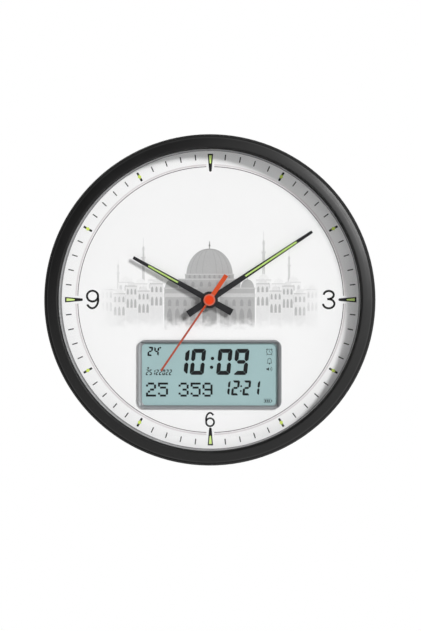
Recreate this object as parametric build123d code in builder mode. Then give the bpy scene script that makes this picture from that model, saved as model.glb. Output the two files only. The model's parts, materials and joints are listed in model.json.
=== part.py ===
from build123d import *
import math
import os

# Round wall clock that calls the prayer times: an analogue quartz clock with a calendar display below.
# Frame: the wall is the plane y = 0, the front faces -Y, +Z is up and the hands turn about the Y axis.
# A height is a distance off the wall, so height h is the plane y = -h.

os.makedirs("parts", exist_ok=True)

# ---------------------------------------------------------------- driving dimensions, mm
# clearances
fit_gap = 0.3            # loose gap between moulded parts
running_gap = 0.07       # radial play of an arbor in its bearing
screw_gap = 0.02         # radial play of a screw in its pilot hole
wheel_air = 0.8          # free height between two layers of the gear train

# case
case_r = 150.0           # outside radius
case_depth = 46.0        # wall to the crest of the bezel
case_draft = 1.4         # how much narrower the case is at the wall
case_wall = 2.5          # moulded wall
bezel_width = 13.0       # outside of the case to the opening that shows the glass
crest_inset = 1.6        # opening to the highest line of the bezel
shoulder_width = 3.0     # outside of the case to the outer edge of the sloping face
face_drop = 2.7          # fall of the face from the crest to its outer edge
face_crown = 0.35        # bulge of the face
step_drop = 1.1          # small step outside the face
land_width = 1.2         # width of that step
shoulder_drop = 8.5      # crest to the end of the rounded shoulder
lip_t = 2.0              # lip over the glass
lip_edge = 0.6           # upright edge of the lip before its rounding
screw_count = 6          # screws that hold the rear cover
screw_start = 15.0       # direction of the first screw, degrees from +X towards +Z

# glass, spacer, dial
glass_overlap = 3.0      # glass under the lip of the bezel
glass_t = 2.0
seal_t = 0.5
seal_width = 2.2
hand_room = 10.0         # glass to dial
spacer_t = 1.6           # wall of the spacer ring
spacer_slope = 2.1       # how much narrower the spacer is at the dial than at the glass
dial_t = 1.0
carrier_t = 2.5

# display
display_w = 122.7        # window of the trim
display_h = 56.1
display_z = -67.5        # centre of the display
display_corner_r = 4.0
trim_side_w = 3.8        # width of the trim left and right of the window
trim_cross_w = 3.2       # width of the trim above and below the window
trim_t = 1.6             # how far the trim stands off the dial
trim_lip_t = 0.4         # height left at the inner edge of its slope
trim_ridge = 0.8         # flat ridge outside the slope
trim_spigot = 1.3        # wall of the collar that enters the dial
panel_margin = 2.3       # how much larger the display panel is than the window, each side
panel_glass_t = 1.4      # each of the two glasses
panel_ledge = 2.0        # contact ledge of the panel
strip_w = 1.6            # rubber contact strips
strip_inset = 7.0        # end of a strip from the side of the panel
bracket_t = 4.7          # frame between the panel and its board
bracket_border = 9.0     # border of that frame around its window
board_t = 1.6
board_side = 8.5         # board beyond the panel, left and right
board_over = 0.6         # board beyond the panel, above and below
board_corner_r = 12.0
board_screw_x = 4.0      # screws of the board from its left and right edges
board_screw_z = 10.0     # and from its upper and lower edges
processor_side = 14.0
processor_x = -24.0
driver_w = 10.0
driver_h = 6.0
driver_x = 6.0
driver_rise = 9.0        # the two small chips above and below the middle of the board
chip_t = 1.6
capacitor_r = 3.2
capacitor_t = 7.0
capacitor_x = 36.0
capacitor_pitch = 12.0

# movement
movement_end = 2.75      # cell to the outside of the movement's case, each end
movement_wall = 1.2
train_room = 11.6        # axis of the hands to the partition above the cell
movement_corner_r = 3.0
cushion_t = 0.5          # rubber washer between the movement and the dial carrier
cushion_r = 11.0
bush_r = 4.0
bush_flange_r = 5.6
bush_flange_t = 0.8
bush_proud = 0.3         # bush beyond its nut
bush_lead = 0.4          # chamfer that leads the nut onto the thread
washer_t = 0.5
washer_r = 7.2
nut_t = 2.0
nut_flats = 11.0
bridge_t = 0.8
cell_r = 7.25            # AA cell
cell_length = 50.5
cell_nub_r = 2.75
cell_nub_t = 1.3
partition_t = 0.9

# gear train
tooth_t = 0.9            # thickness of every toothed disc
wheel_addendum = 0.65    # tooth heights, in modules
pinion_addendum = 0.70
dedendum = 1.05
wheel_tooth_share = 0.40 # tooth thickness as a share of the pitch
pinion_tooth_share = 0.36
flank_angle = 18.0
rotor_teeth = 8
intermediate_teeth = 40
intermediate_pinion_teeth = 8
second_teeth = 48
second_pinion_teeth = 6
third_teeth = 45
third_pinion_teeth = 6
centre_teeth = 48
cannon_teeth = 8
motion_teeth = 24
motion_pinion_teeth = 8
hour_teeth = 32
knob_teeth = 8
rotor_distance = 8.4         # centre distances
intermediate_distance = 12.3
train_distance = 12.24
motion_distance = 8.4
rotor_bearing = 10.0         # directions from one arbor to the next, degrees from +X towards +Z
intermediate_bearing = 60.0
third_bearing = 150.0
motion_bearing = 0.0
knob_bearing = -60.0
arbor_r = 0.5
pivot_r = 0.4
second_arbor_r = 0.5
minute_arbor_r = 1.6
minute_foot_r = 1.1          # part of the minute arbor under the centre wheel
hour_pipe_r = 2.5
magnet_r = 3.0
magnet_t = 3.0
knob_r = 4.2
knob_t = 2.4
knob_grips = 12              # hollows around the knob
knob_grip_r = 0.7
knob_grip_out = 0.3          # centre of a hollow beyond the knob's edge
knob_stem_r = 1.0
knob_tip_r = 0.6

# stepping motor
coil_gap = 0.4               # coil to the wall of the movement's case
coil_low = -5.0
coil_high = 19.0
coil_r = 3.2
coil_flange_t = 0.8
bobbin_wall = 0.5
core_w = 2.4
core_t = 0.8
stator_t = 0.8
stator_arm_w = 3.0
stator_ring_w = 2.0

# oscillator
quartz_board_w = 28.0
quartz_board_h = 7.0
quartz_board_x = -11.5
driver_blob_r = 2.8          # drop of resin over the driver
driver_blob_x = 6.0          # from the middle of its board
crystal_r = 1.0
crystal_length = 6.0
crystal_x = -8.0

# hands
hour_angle = 299.1           # clockwise from 12
minute_angle = 56.4
second_angle = 214.3
hour_tip = 79.0
minute_tip = 111.4
hand_tail = 23.3
hand_tail_w = 6.3
hour_tip_w = 2.8
minute_tip_w = 2.6
hub_r = 7.7
hand_t = 0.5
hand_collar_t = 0.6
hand_collar_w = 1.1
hour_lume = (32.7, 63.4, 1.4)     # start, end and width of the glowing strip
minute_lume = (39.1, 94.6, 1.5)
lume_t = 0.6
second_tip = 77.6
second_w = 1.8
second_tail = 27.2
second_tail_w = 4.0
second_t = 0.4
second_hub_r = 4.6
second_pipe_wall = 0.6
cap_r = 5.35
cap_t = 0.9
hand_gap = 1.0               # free height between hour hand and minute hand
second_gap = 0.2             # free height between the minute arbor and the second hand's pipe
arbor_proud = 0.4            # arbor beyond the hand it carries

# rear cover
cover_inset = 3.0            # outer face of the cover off the wall
cover_t = 2.5
cover_ring_t = 2.6           # ring that clamps the dial carrier
flange_gap = 0.8             # ring inside the dial radius
well_gap = 3.0               # opening larger than the movement, each side
well_wall = 1.6
well_overlap = 1.0           # walls of that opening beside the movement
cover_rib_t = 1.6            # diagonal ribs inside the cover
cover_rib_h = 4.0
keyhole_inset = 20.6         # entry of the keyhole from the cover's ring
keyhole_r = 4.5
keyhole_slot_r = 2.2
keyhole_rise = 8.5
pocket_side = 7.0            # inside half width of the nail pocket
pocket_depth = 8.0
pocket_wall = 1.5
speaker_r = 27.0
speaker_rim_t = 1.2
speaker_rim_w = 3.5
speaker_seat = 3.0           # support ring under the speaker's rim
speaker_seat_w = 2.0
speaker_depth = 13.0
speaker_magnet_r = 15.0
speaker_magnet_t = 6.0
speaker_shell = 0.8
speaker_hold = 1.0           # screw heads over the speaker's rim
cone_t = 0.6
cone_throat_r = 8.0
grille_pitch = 5.0
grille_slot = 2.0
grille_r = 23.0

# battery bay for the display
bay_margin = 22.0            # bay from the cover's ring
bay_room = 2.75              # room for the contacts at each end
bay_wall = 1.6
bay_ledge = 1.0              # ledge that the door rests on
door_t = 1.8
door_pin_r = 0.7
door_knuckle_r = 1.2
door_pin_reach = 1.5
door_grip_t = 0.6            # ridges for the thumb
door_grip_w = 1.0
door_grip_pitch = 2.5
door_grip_inset = 3.0        # first ridge from the end of the door
door_slit_w = 1.0
door_slit_length = 9.0
contact_t = 0.4
contact_w = 9.0

# keys
key_margin = 27.6            # key board from the cover's ring
key_inset = 14.0             # keys from the inner edge of their board
switch_inset = 14.0          # slide switch from its outer edge
key_pitch = 17.0
key_r = 3.5
key_flange_r = 4.8
key_flange_t = 1.2
key_proud = 1.4              # key beyond the cover
key_stem_r = 1.6
key_travel = 0.8
switch_travel = 3.0
slider_w = 4.0
slider_h = 5.0
slider_proud = 1.6
slider_foot = 1.5
tact_size = 6.0
tact_t = 3.5
key_board_w = 54.0
key_board_h = 68.0
key_board_room = 7.5         # cover to the key board
key_screw_inset = 4.0

# fasteners
cover_screw_r = 1.5
cover_screw_head_r = 2.6
cover_screw_head_t = 1.8
cover_screw_length = 12.0
boss_inset = 0.1         # boss behind the wall that the glass stack slides in
boss_rib_t = 1.6
screw_r = 1.3                # small tapping screw, used for the boards and the speaker
screw_head_r = 3.0
screw_head_t = 1.4
screw_length = 5.0
post_r = 3.0

# ---------------------------------------------------------------- heights that follow
movement_t = 2 * movement_wall + 6 * tooth_t + bridge_t + 8 * wheel_air
seat_height = case_depth - lip_t
glass_front = seat_height - seal_t
glass_back = glass_front - glass_t
dial_front = glass_back - hand_room
dial_back = dial_front - dial_t
carrier_back = dial_back - carrier_t
panel_back = dial_back - 2 * panel_glass_t
board_front = panel_back - bracket_t
board_back = board_front - board_t
movement_front = carrier_back - cushion_t
movement_back = movement_front - movement_t
case_inner_front = movement_front - movement_wall
case_inner_back = movement_back + movement_wall
layer_a = case_inner_back + wheel_air
layer_b = layer_a + tooth_t + wheel_air
layer_c = layer_b + tooth_t + wheel_air
layer_d = layer_c + tooth_t + wheel_air
bridge_back = layer_d + tooth_t + wheel_air
bridge_front = bridge_back + bridge_t
layer_e = bridge_front + wheel_air
layer_f = layer_e + tooth_t + wheel_air
pivot_back = case_inner_back - movement_wall / 2
pivot_front = bridge_front
washer_front = dial_front + washer_t
nut_front = washer_front + nut_t
bush_front = nut_front + bush_proud
hour_back = bush_front + hand_collar_t + fit_gap
hour_front = hour_back + hand_t
hour_pipe_end = hour_front + arbor_proud
minute_back = hour_pipe_end + hand_gap
minute_front = minute_back + hand_t
minute_arbor_end = minute_front + arbor_proud
second_back = minute_arbor_end + 2 * second_gap
second_front = second_back + second_t
second_arbor_end = second_front + arbor_proud
cap_front = second_front + cap_t
cover_back = cover_inset
cover_front = cover_inset + cover_t

# radii and places that follow
opening_r = case_r - bezel_width
crest_r = opening_r + crest_inset
face_r = case_r - shoulder_width
glass_r = opening_r + glass_overlap
dial_view_r = opening_r - spacer_slope         # dial radius left in view by the spacer
seat_r = glass_r + fit_gap
stack_r = glass_r                      # seal, spacer, dial and carrier share the glass's radius
channel_top = case_depth - face_drop - step_drop - case_wall
channel_in_r = seat_r + case_wall
channel_out_r = case_r - case_draft - case_wall
boss_ring_r = channel_out_r - cover_screw_head_r - fit_gap
boss_r = boss_ring_r - seat_r - boss_inset
cover_r = channel_out_r - fit_gap
cover_ring_r = stack_r - flange_gap
cover_ring_in_r = cover_ring_r - cover_ring_t
trim_w = display_w + 2 * trim_side_w
trim_h = display_h + 2 * trim_cross_w
trim_corner_r = display_corner_r + trim_cross_w - trim_lip_t
spigot_w = display_w + 2 * trim_spigot
spigot_h = display_h + 2 * trim_spigot
panel_w = display_w + 2 * panel_margin
panel_h = display_h + 2 * panel_margin
board_w = panel_w + 2 * board_side
board_h = panel_h + 2 * board_over
post_x = board_w / 2 - board_screw_x
post_z = board_h / 2 - board_screw_z
strip_length = panel_w - 2 * strip_inset
movement_size = cell_length + 2 * movement_end
movement_half = movement_size / 2
partition_z = -train_room - partition_t
cell_z = partition_z - fit_gap - cell_r
movement_z = cell_z - cell_r - fit_gap - movement_wall + movement_half
cell_height = case_inner_front - fit_gap - cell_r
coil_x = movement_half - movement_wall - coil_gap - coil_r
well_half = movement_half + well_gap
well_front = movement_back + well_overlap
bay_length = cell_length + 2 * bay_room
bay_x = bay_length / 2 + bay_wall + bay_margin - cover_ring_in_r
bay_height = 4 * cell_r + 3 * fit_gap
bay_cell_height = cover_front + fit_gap + cell_r
bay_top = bay_cell_height + cell_r + fit_gap
bay_cell_z = cell_r + fit_gap / 2
door_w = bay_length + 2 * bay_ledge
door_h = bay_height + 2 * bay_ledge
hinge_x = bay_x - door_w / 2 + fit_gap + door_knuckle_r
hinge_height = cover_back + door_knuckle_r
door_end_x = bay_x + door_w / 2 - fit_gap
keyhole_z = cover_ring_in_r - keyhole_inset
pocket_low_z = keyhole_z - pocket_side
pocket_high_z = keyhole_z + keyhole_rise + keyhole_slot_r + pocket_side / 3
speaker_z = (movement_z + well_half + well_wall + pocket_low_z - pocket_wall) / 2
speaker_rim_back = cover_front + speaker_seat
speaker_rim_front = speaker_rim_back + speaker_rim_t
speaker_front = speaker_rim_back + speaker_depth
speaker_post_r = speaker_r + screw_head_r - speaker_hold
speaker_post_angles = (0, 120, 240)
key_z = [key_pitch * (i - 1.5) for i in range(4)]
key_names = ["stop_key", "down_key", "up_key", "mode_key"]
key_back = cover_back - key_proud
key_flange_back = cover_front + fit_gap
key_board_back = cover_front + key_board_room
key_board_x = cover_ring_in_r - key_margin - key_board_w / 2
key_x = key_board_x - key_board_w / 2 + key_inset
switch_x = key_board_x + key_board_w / 2 - switch_inset
tact_back = key_board_back - tact_t
key_stem_end = tact_back + tact_t - key_travel - fit_gap
key_screw_x = key_board_w / 2 - key_screw_inset
key_screw_z = key_board_h / 2 - key_screw_inset


# ---------------------------------------------------------------- helpers
def facing(height):
    """Sketch plane at a height off the wall, seen from the room: local x is right and local y is up."""
    return Plane.XZ.offset(height)


# Half section of a turned part: local x is the radius and local y is the height off the wall.
section = Plane(origin=(0, 0, 0), x_dir=(1, 0, 0), z_dir=(0, 0, -1))


def polar(distance, angle, start=(0, 0)):
    """Point at a distance and an angle from +X towards +Z."""
    turn = math.radians(angle)
    return (start[0] + distance * math.cos(turn), start[1] + distance * math.sin(turn))


def post(centre, low, high, radius, mode=Mode.ADD):
    """Round post between two heights, or a round hole with Mode.SUBTRACT."""
    with BuildSketch(facing(low)) as circle:
        with Locations(centre):
            Circle(radius)
    extrude(circle.sketch, amount=high - low, mode=mode)


def block(centre, low, high, width, height, corner_r=0.0, mode=Mode.ADD):
    """Rectangular block between two heights, with rounded corners where a radius is given."""
    with BuildSketch(facing(low)) as outline:
        with Locations(centre):
            if corner_r > 0:
                RectangleRounded(width, height, corner_r)
            else:
                Rectangle(width, height)
    extrude(outline.sketch, amount=high - low, mode=mode)


def toothed_disc(centre, low, teeth, module, phase, pinion=False):
    """Straight-flanked toothed disc with one tooth centred on the phase angle."""
    share = pinion_tooth_share if pinion else wheel_tooth_share
    pitch_r = teeth * module / 2
    tip_r = pitch_r + module * (pinion_addendum if pinion else wheel_addendum)
    root_r = pitch_r - module * dedendum
    slope = math.tan(math.radians(flank_angle))
    tip_half = math.degrees((share * math.pi * module / 2 - (tip_r - pitch_r) * slope) / tip_r)
    root_half = math.degrees((share * math.pi * module / 2 + (pitch_r - root_r) * slope) / root_r)
    corners = []
    for tooth in range(teeth):
        middle = phase + tooth * 360 / teeth
        corners.append(polar(root_r, middle - root_half, centre))
        corners.append(polar(tip_r, middle - tip_half, centre))
        corners.append(polar(tip_r, middle + tip_half, centre))
        corners.append(polar(root_r, middle + root_half, centre))
    with BuildSketch(facing(low)) as blank:
        with BuildLine():
            Polyline(corners, close=True)
        make_face()
    extrude(blank.sketch, amount=tooth_t)


def meshing_phase(teeth, phase, bearing, other_teeth):
    """Phase that puts a gap of the other wheel on each tooth of this one, with the bearing towards it."""
    share = (phase - bearing) * teeth / 360
    return bearing + 180 - (share + 0.5) * 360 / other_teeth


def arbor(centre, back, front):
    """Plain arbor between two heights with a thinner pivot at each end, down to the bearings."""
    post(centre, back, front, arbor_r)
    post(centre, pivot_back, back, pivot_r)
    post(centre, front, pivot_front, pivot_r)


def along_hand(clock_angle, height):
    """Sketch plane at a height whose local y points from the axis to a clock angle, clockwise from 12."""
    turn = math.radians(clock_angle)
    across = (math.cos(turn), 0, -math.sin(turn))
    return Plane(origin=(0, -height, 0), x_dir=across, z_dir=(0, -1, 0))


def tapered_blade(clock_angle, tail, tip, tail_width, tip_width, low, thickness):
    """Straight-ended hand blade that narrows evenly from its tail to its tip."""
    with BuildSketch(along_hand(clock_angle, low)) as blade:
        with BuildLine():
            Polyline(
                (-tail_width / 2, -tail),
                (tail_width / 2, -tail),
                (tip_width / 2, tip),
                (-tip_width / 2, tip),
                close=True,
            )
        make_face()
    extrude(blade.sketch, amount=thickness)


def lume_slot(clock_angle, lume, low, thickness, gap, mode):
    """Strip along a hand: the slot cut in the blade, or the glowing fill that lies in it."""
    start, end, width = lume
    with BuildSketch(along_hand(clock_angle, low)) as strip:
        with Locations((0, (start + end) / 2)):
            Rectangle(width + 2 * gap, end - start + 2 * gap)
    extrude(strip.sketch, amount=thickness, mode=mode)


def tapping_screw(centre, head_height):
    """Small tapping screw with its head in front of a height and its shank towards the wall."""
    post(centre, head_height - screw_length, head_height, screw_r)
    post(centre, head_height, head_height + screw_head_t, screw_head_r)


# ---------------------------------------------------------------- gear train layout
rotor_module = 2 * rotor_distance / (rotor_teeth + intermediate_teeth)
intermediate_module = 2 * intermediate_distance / (intermediate_pinion_teeth + second_teeth)
second_module = 2 * train_distance / (second_pinion_teeth + third_teeth)
third_module = 2 * train_distance / (third_pinion_teeth + centre_teeth)
motion_module = 2 * motion_distance / (cannon_teeth + motion_teeth)
hour_module = 2 * motion_distance / (motion_pinion_teeth + hour_teeth)
knob_distance = motion_module * (motion_teeth + knob_teeth) / 2

axis_xz = (0, 0)
intermediate_xz = polar(intermediate_distance, intermediate_bearing)
rotor_xz = polar(rotor_distance, rotor_bearing, intermediate_xz)
third_xz = polar(train_distance, third_bearing)
motion_xz = polar(motion_distance, motion_bearing)
knob_xz = polar(knob_distance, knob_bearing, motion_xz)

rotor_phase = 0
intermediate_phase = meshing_phase(rotor_teeth, rotor_phase, rotor_bearing + 180, intermediate_teeth)
intermediate_pinion_phase = 0
second_phase = meshing_phase(
    intermediate_pinion_teeth, intermediate_pinion_phase, intermediate_bearing + 180, second_teeth
)
second_pinion_phase = 0
third_phase = meshing_phase(second_pinion_teeth, second_pinion_phase, third_bearing, third_teeth)
third_pinion_phase = 0
centre_phase = meshing_phase(third_pinion_teeth, third_pinion_phase, third_bearing + 180, centre_teeth)
cannon_phase = 0
motion_phase = meshing_phase(cannon_teeth, cannon_phase, motion_bearing, motion_teeth)
motion_pinion_phase = 0
hour_phase = meshing_phase(motion_pinion_teeth, motion_pinion_phase, motion_bearing + 180, hour_teeth)
knob_phase = meshing_phase(motion_teeth, motion_phase, knob_bearing, knob_teeth)

bridge_posts = [(-15.0, -8.0), (-4.0, 15.5), (17.5, 6.0)]
bridge_post_r = 1.5

# ---------------------------------------------------------------- case
with BuildPart() as bezel:
    with BuildSketch(section):
        with BuildLine():
            lip_inside = Line((opening_r, seat_height), (opening_r, seat_height + lip_edge))
            lip_round = TangentArc(lip_inside @ 1, (crest_r, case_depth), tangent=(0, 1))
            face_middle = ((crest_r + face_r) / 2, case_depth - face_drop / 2 + face_crown)
            face = ThreePointArc(lip_round @ 1, face_middle, (face_r, case_depth - face_drop))
            step = Line(face @ 1, (face_r, case_depth - face_drop - step_drop))
            land = Line(step @ 1, step @ 1 + (land_width, 0))
            TangentArc((case_r, case_depth - shoulder_drop), land @ 1, tangent=(0, 1))
            side = Line((case_r, case_depth - shoulder_drop), (case_r - case_draft, 0))
            rear = Line(side @ 1, (channel_out_r, 0))
            channel_outside = Line(rear @ 1, (case_r - case_wall, channel_top - case_wall))
            channel_slope = Line(channel_outside @ 1, (case_r - 2 * case_wall, channel_top))
            channel_roof = Line(channel_slope @ 1, (channel_in_r, channel_top))
            channel_inside = Line(channel_roof @ 1, (channel_in_r, carrier_back))
            seat_foot = Line(channel_inside @ 1, (seat_r, carrier_back))
            seat_wall = Line(seat_foot @ 1, (seat_r, seat_height))
            Line(seat_wall @ 1, lip_inside @ 0)
        make_face()
    revolve(axis=Axis.Y)
    # bosses in the open channel take the cover screws, each with a rib to the outer wall
    rib_length = case_r - 1.5 * case_wall - boss_ring_r
    with BuildSketch(facing(cover_front)):
        with PolarLocations(boss_ring_r, screw_count, start_angle=screw_start):
            Circle(boss_r)
        with PolarLocations(boss_ring_r + rib_length / 2, screw_count, start_angle=screw_start):
            Rectangle(rib_length, boss_rib_t)
    extrude(amount=channel_top - cover_front)
    with BuildSketch(facing(cover_front)):
        with PolarLocations(boss_ring_r, screw_count, start_angle=screw_start):
            Circle(cover_screw_r + screw_gap)
    extrude(amount=cover_screw_length + fit_gap, mode=Mode.SUBTRACT)
bezel.part.label = "bezel"
export_step(bezel.part, "parts/bezel.step")

with BuildPart() as glass_seal:
    with BuildSketch(facing(glass_front)):
        Circle(stack_r)
        Circle(stack_r - seal_width, mode=Mode.SUBTRACT)
    extrude(amount=seal_t)
glass_seal.part.label = "glass_seal"
export_step(glass_seal.part, "parts/glass_seal.step")

with BuildPart() as glass:
    with BuildSketch(facing(glass_back)):
        Circle(glass_r)
    extrude(amount=glass_t)
    chamfer(glass.edges().filter_by(GeomType.CIRCLE), length=glass_t / 8)
glass.part.label = "glass"
export_step(glass.part, "parts/glass.step")

with BuildPart() as dial_spacer:
    with BuildSketch(section):
        with BuildLine():
            Polyline(
                (dial_view_r, dial_front),
                (stack_r, dial_front),
                (stack_r, dial_front + spacer_t),
                (dial_view_r + 1.2 * spacer_t, dial_front + spacer_t),
                (opening_r + spacer_t, glass_back),
                (opening_r, glass_back),
                close=True,
            )
        make_face()
    revolve(axis=Axis.Y)
dial_spacer.part.label = "dial_spacer"
export_step(dial_spacer.part, "parts/dial_spacer.step")

# ---------------------------------------------------------------- dial
with BuildPart() as dial:
    with BuildSketch(facing(dial_back)):
        Circle(stack_r)
        Circle(bush_r + fit_gap, mode=Mode.SUBTRACT)
        with Locations((0, display_z)):
            RectangleRounded(
                spigot_w + fit_gap, spigot_h + fit_gap, display_corner_r + trim_spigot, mode=Mode.SUBTRACT
            )
    extrude(amount=dial_t)
dial.part.label = "dial"
export_step(dial.part, "parts/dial.step")

board_posts = [(x, display_z + z) for x in (-post_x, post_x) for z in (-post_z, post_z)]
with BuildPart() as dial_carrier:
    with BuildSketch(facing(carrier_back)):
        Circle(stack_r)
        Circle(bush_r + fit_gap, mode=Mode.SUBTRACT)
        with Locations((0, display_z)):
            Rectangle(panel_w + 2 * fit_gap, panel_h + 2 * fit_gap, mode=Mode.SUBTRACT)
    extrude(amount=carrier_t)
    for place in board_posts:
        post(place, board_front, carrier_back, post_r)
    for place in board_posts:
        post(place, board_front, carrier_back, screw_r + screw_gap, Mode.SUBTRACT)
dial_carrier.part.label = "dial_carrier"
export_step(dial_carrier.part, "parts/dial_carrier.step")

# ---------------------------------------------------------------- display
with BuildPart() as display_trim:
    block((0, display_z), dial_front, dial_front + trim_t, trim_w, trim_h, trim_corner_r)
    block((0, display_z), dial_back, dial_front, spigot_w, spigot_h, display_corner_r + trim_spigot)
    block((0, display_z), dial_back, dial_front + trim_t, display_w, display_h, display_corner_r,
          Mode.SUBTRACT)
    # slope from the outer ridge down to the window
    slope_w = display_w + 2 * (trim_side_w - trim_ridge)
    slope_h = display_h + 2 * (trim_cross_w - trim_ridge)
    with BuildSketch(facing(dial_front + trim_lip_t)):
        with Locations((0, display_z)):
            RectangleRounded(display_w, display_h, display_corner_r)
    with BuildSketch(facing(dial_front + trim_t)):
        with Locations((0, display_z)):
            RectangleRounded(slope_w, slope_h, trim_corner_r - trim_ridge)
    loft(mode=Mode.SUBTRACT)
display_trim.part.label = "display_trim"
export_step(display_trim.part, "parts/display_trim.step")

with BuildPart() as display_panel:
    block((0, display_z), dial_back - panel_glass_t, dial_back, panel_w, panel_h)
    block((0, display_z), panel_back, dial_back - panel_glass_t, panel_w, panel_h - 2 * panel_ledge)
display_panel.part.label = "display_panel"
export_step(display_panel.part, "parts/display_panel.step")

strip_z = panel_h / 2 - panel_ledge / 2
strip_places = [(0, display_z - strip_z), (0, display_z + strip_z)]
with BuildPart() as display_bracket:
    block((0, display_z), board_front, panel_back, panel_w, panel_h + 2 * board_over)
    block((0, display_z), board_front, panel_back, panel_w - 2 * bracket_border,
          panel_h - 2 * bracket_border, mode=Mode.SUBTRACT)
    for place in strip_places:
        block(place, board_front, panel_back, strip_length + 2 * fit_gap, strip_w + fit_gap,
              mode=Mode.SUBTRACT)
display_bracket.part.label = "display_bracket"
export_step(display_bracket.part, "parts/display_bracket.step")

with BuildPart() as contact_strips:
    for place in strip_places:
        block(place, board_front, dial_back - panel_glass_t, strip_length, strip_w)
contact_strips.part.label = "contact_strips"
export_step(contact_strips.part, "parts/contact_strips.step")

with BuildPart() as main_board:
    block((0, display_z), board_back, board_front, board_w, board_h, board_corner_r)
    for place in board_posts:
        post(place, board_back, board_front, screw_r + fit_gap, Mode.SUBTRACT)
main_board.part.label = "main_board"
export_step(main_board.part, "parts/main_board.step")

with BuildPart() as board_chips:
    block((processor_x, display_z), board_back - chip_t, board_back, processor_side, processor_side)
    for z in (display_z - driver_rise, display_z + driver_rise):
        block((driver_x, z), board_back - chip_t, board_back, driver_w, driver_h)
    for x in (capacitor_x - capacitor_pitch / 2, capacitor_x + capacitor_pitch / 2):
        post((x, display_z), board_back - capacitor_t, board_back, capacitor_r)
board_chips.part.label = "board_chips"
export_step(board_chips.part, "parts/board_chips.step")

# ---------------------------------------------------------------- movement case
train_pivots = [axis_xz, intermediate_xz, rotor_xz, third_xz]
train_top = movement_z + movement_half
with BuildPart() as movement_case:
    block((0, movement_z), case_inner_back, movement_front, movement_size, movement_size, movement_corner_r)
    # train room above the partition, cell bay below it
    room_height = train_top - movement_wall - partition_z - partition_t
    room_middle = (0, partition_z + partition_t + room_height / 2)
    block(room_middle, case_inner_back, case_inner_front, movement_size - 2 * movement_wall, room_height,
          mode=Mode.SUBTRACT)
    bay_floor = movement_z - movement_half + movement_wall
    block((0, (bay_floor + partition_z) / 2), case_inner_back, case_inner_front,
          movement_size - 2 * movement_wall, partition_z - bay_floor, mode=Mode.SUBTRACT)
    for place in bridge_posts:
        post(place, bridge_front, case_inner_front, bridge_post_r)
    post(axis_xz, case_inner_front, movement_front, bush_r + screw_gap, Mode.SUBTRACT)
    post(knob_xz, case_inner_front, case_inner_front + movement_wall / 2, knob_tip_r + running_gap,
         Mode.SUBTRACT)
movement_case.part.label = "movement_case"
export_step(movement_case.part, "parts/movement_case.step")

with BuildPart() as movement_cover:
    block((0, movement_z), movement_back, case_inner_back, movement_size, movement_size, movement_corner_r)
    block((0, (bay_floor + partition_z) / 2), movement_back, case_inner_back,
          movement_size - 2 * movement_wall, partition_z - bay_floor, mode=Mode.SUBTRACT)
    for place in train_pivots:
        post(place, pivot_back - fit_gap, case_inner_back, pivot_r + running_gap, Mode.SUBTRACT)
    post(knob_xz, movement_back, case_inner_back, knob_stem_r + running_gap, Mode.SUBTRACT)
movement_cover.part.label = "movement_cover"
export_step(movement_cover.part, "parts/movement_cover.step")

with BuildPart() as train_bridge:
    with BuildSketch(facing(bridge_back)):
        for place in bridge_posts + [third_xz, rotor_xz, knob_xz]:
            with Locations(place):
                Circle(2 * bridge_post_r)
        make_hull()
        for place in train_pivots[1:]:
            with Locations(place):
                Circle(pivot_r + running_gap, mode=Mode.SUBTRACT)
        Circle(minute_foot_r + running_gap, mode=Mode.SUBTRACT)
        with Locations(knob_xz):
            Circle(knob_stem_r + running_gap, mode=Mode.SUBTRACT)
    extrude(amount=bridge_t)
    post(motion_xz, bridge_front, case_inner_front, arbor_r)
train_bridge.part.label = "train_bridge"
export_step(train_bridge.part, "parts/train_bridge.step")

with BuildPart() as cushion_washer:
    post(axis_xz, movement_front, carrier_back, cushion_r)
    post(axis_xz, movement_front, carrier_back, bush_r + fit_gap, Mode.SUBTRACT)
cushion_washer.part.label = "cushion_washer"
export_step(cushion_washer.part, "parts/cushion_washer.step")

with BuildPart() as threaded_bush:
    post(axis_xz, case_inner_front - bush_flange_t, case_inner_front, bush_flange_r)
    post(axis_xz, case_inner_front, bush_front, bush_r)
    post(axis_xz, case_inner_front - bush_flange_t, bush_front, hour_pipe_r + running_gap, Mode.SUBTRACT)
    bush_end = threaded_bush.faces().filter_by(Axis.Y).sort_by(Axis.Y)[0]
    chamfer(bush_end.outer_wire().edges(), length=bush_lead)
threaded_bush.part.label = "threaded_bush"
export_step(threaded_bush.part, "parts/threaded_bush.step")

with BuildPart() as dial_washer:
    post(axis_xz, dial_front, washer_front, washer_r)
    post(axis_xz, dial_front, washer_front, bush_r + screw_gap, Mode.SUBTRACT)
dial_washer.part.label = "dial_washer"
export_step(dial_washer.part, "parts/dial_washer.step")

with BuildPart() as hex_nut:
    with BuildSketch(facing(washer_front)):
        RegularPolygon(radius=nut_flats / 2, side_count=6, major_radius=False)
        Circle(bush_r + screw_gap, mode=Mode.SUBTRACT)
    extrude(amount=nut_t)
hex_nut.part.label = "hex_nut"
export_step(hex_nut.part, "parts/hex_nut.step")

# ---------------------------------------------------------------- going train, driven by the rotor
with BuildPart() as rotor:
    toothed_disc(rotor_xz, layer_a, rotor_teeth, rotor_module, rotor_phase, pinion=True)
    arbor(rotor_xz, layer_a, layer_d)
rotor.part.label = "rotor"
export_step(rotor.part, "parts/rotor.step")

magnet_back = (layer_b + layer_d) / 2 - magnet_t / 2
with BuildPart() as rotor_magnet:
    post(rotor_xz, magnet_back, magnet_back + magnet_t, magnet_r)
    post(rotor_xz, magnet_back, magnet_back + magnet_t, arbor_r + screw_gap, Mode.SUBTRACT)
rotor_magnet.part.label = "rotor_magnet"
export_step(rotor_magnet.part, "parts/rotor_magnet.step")

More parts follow.
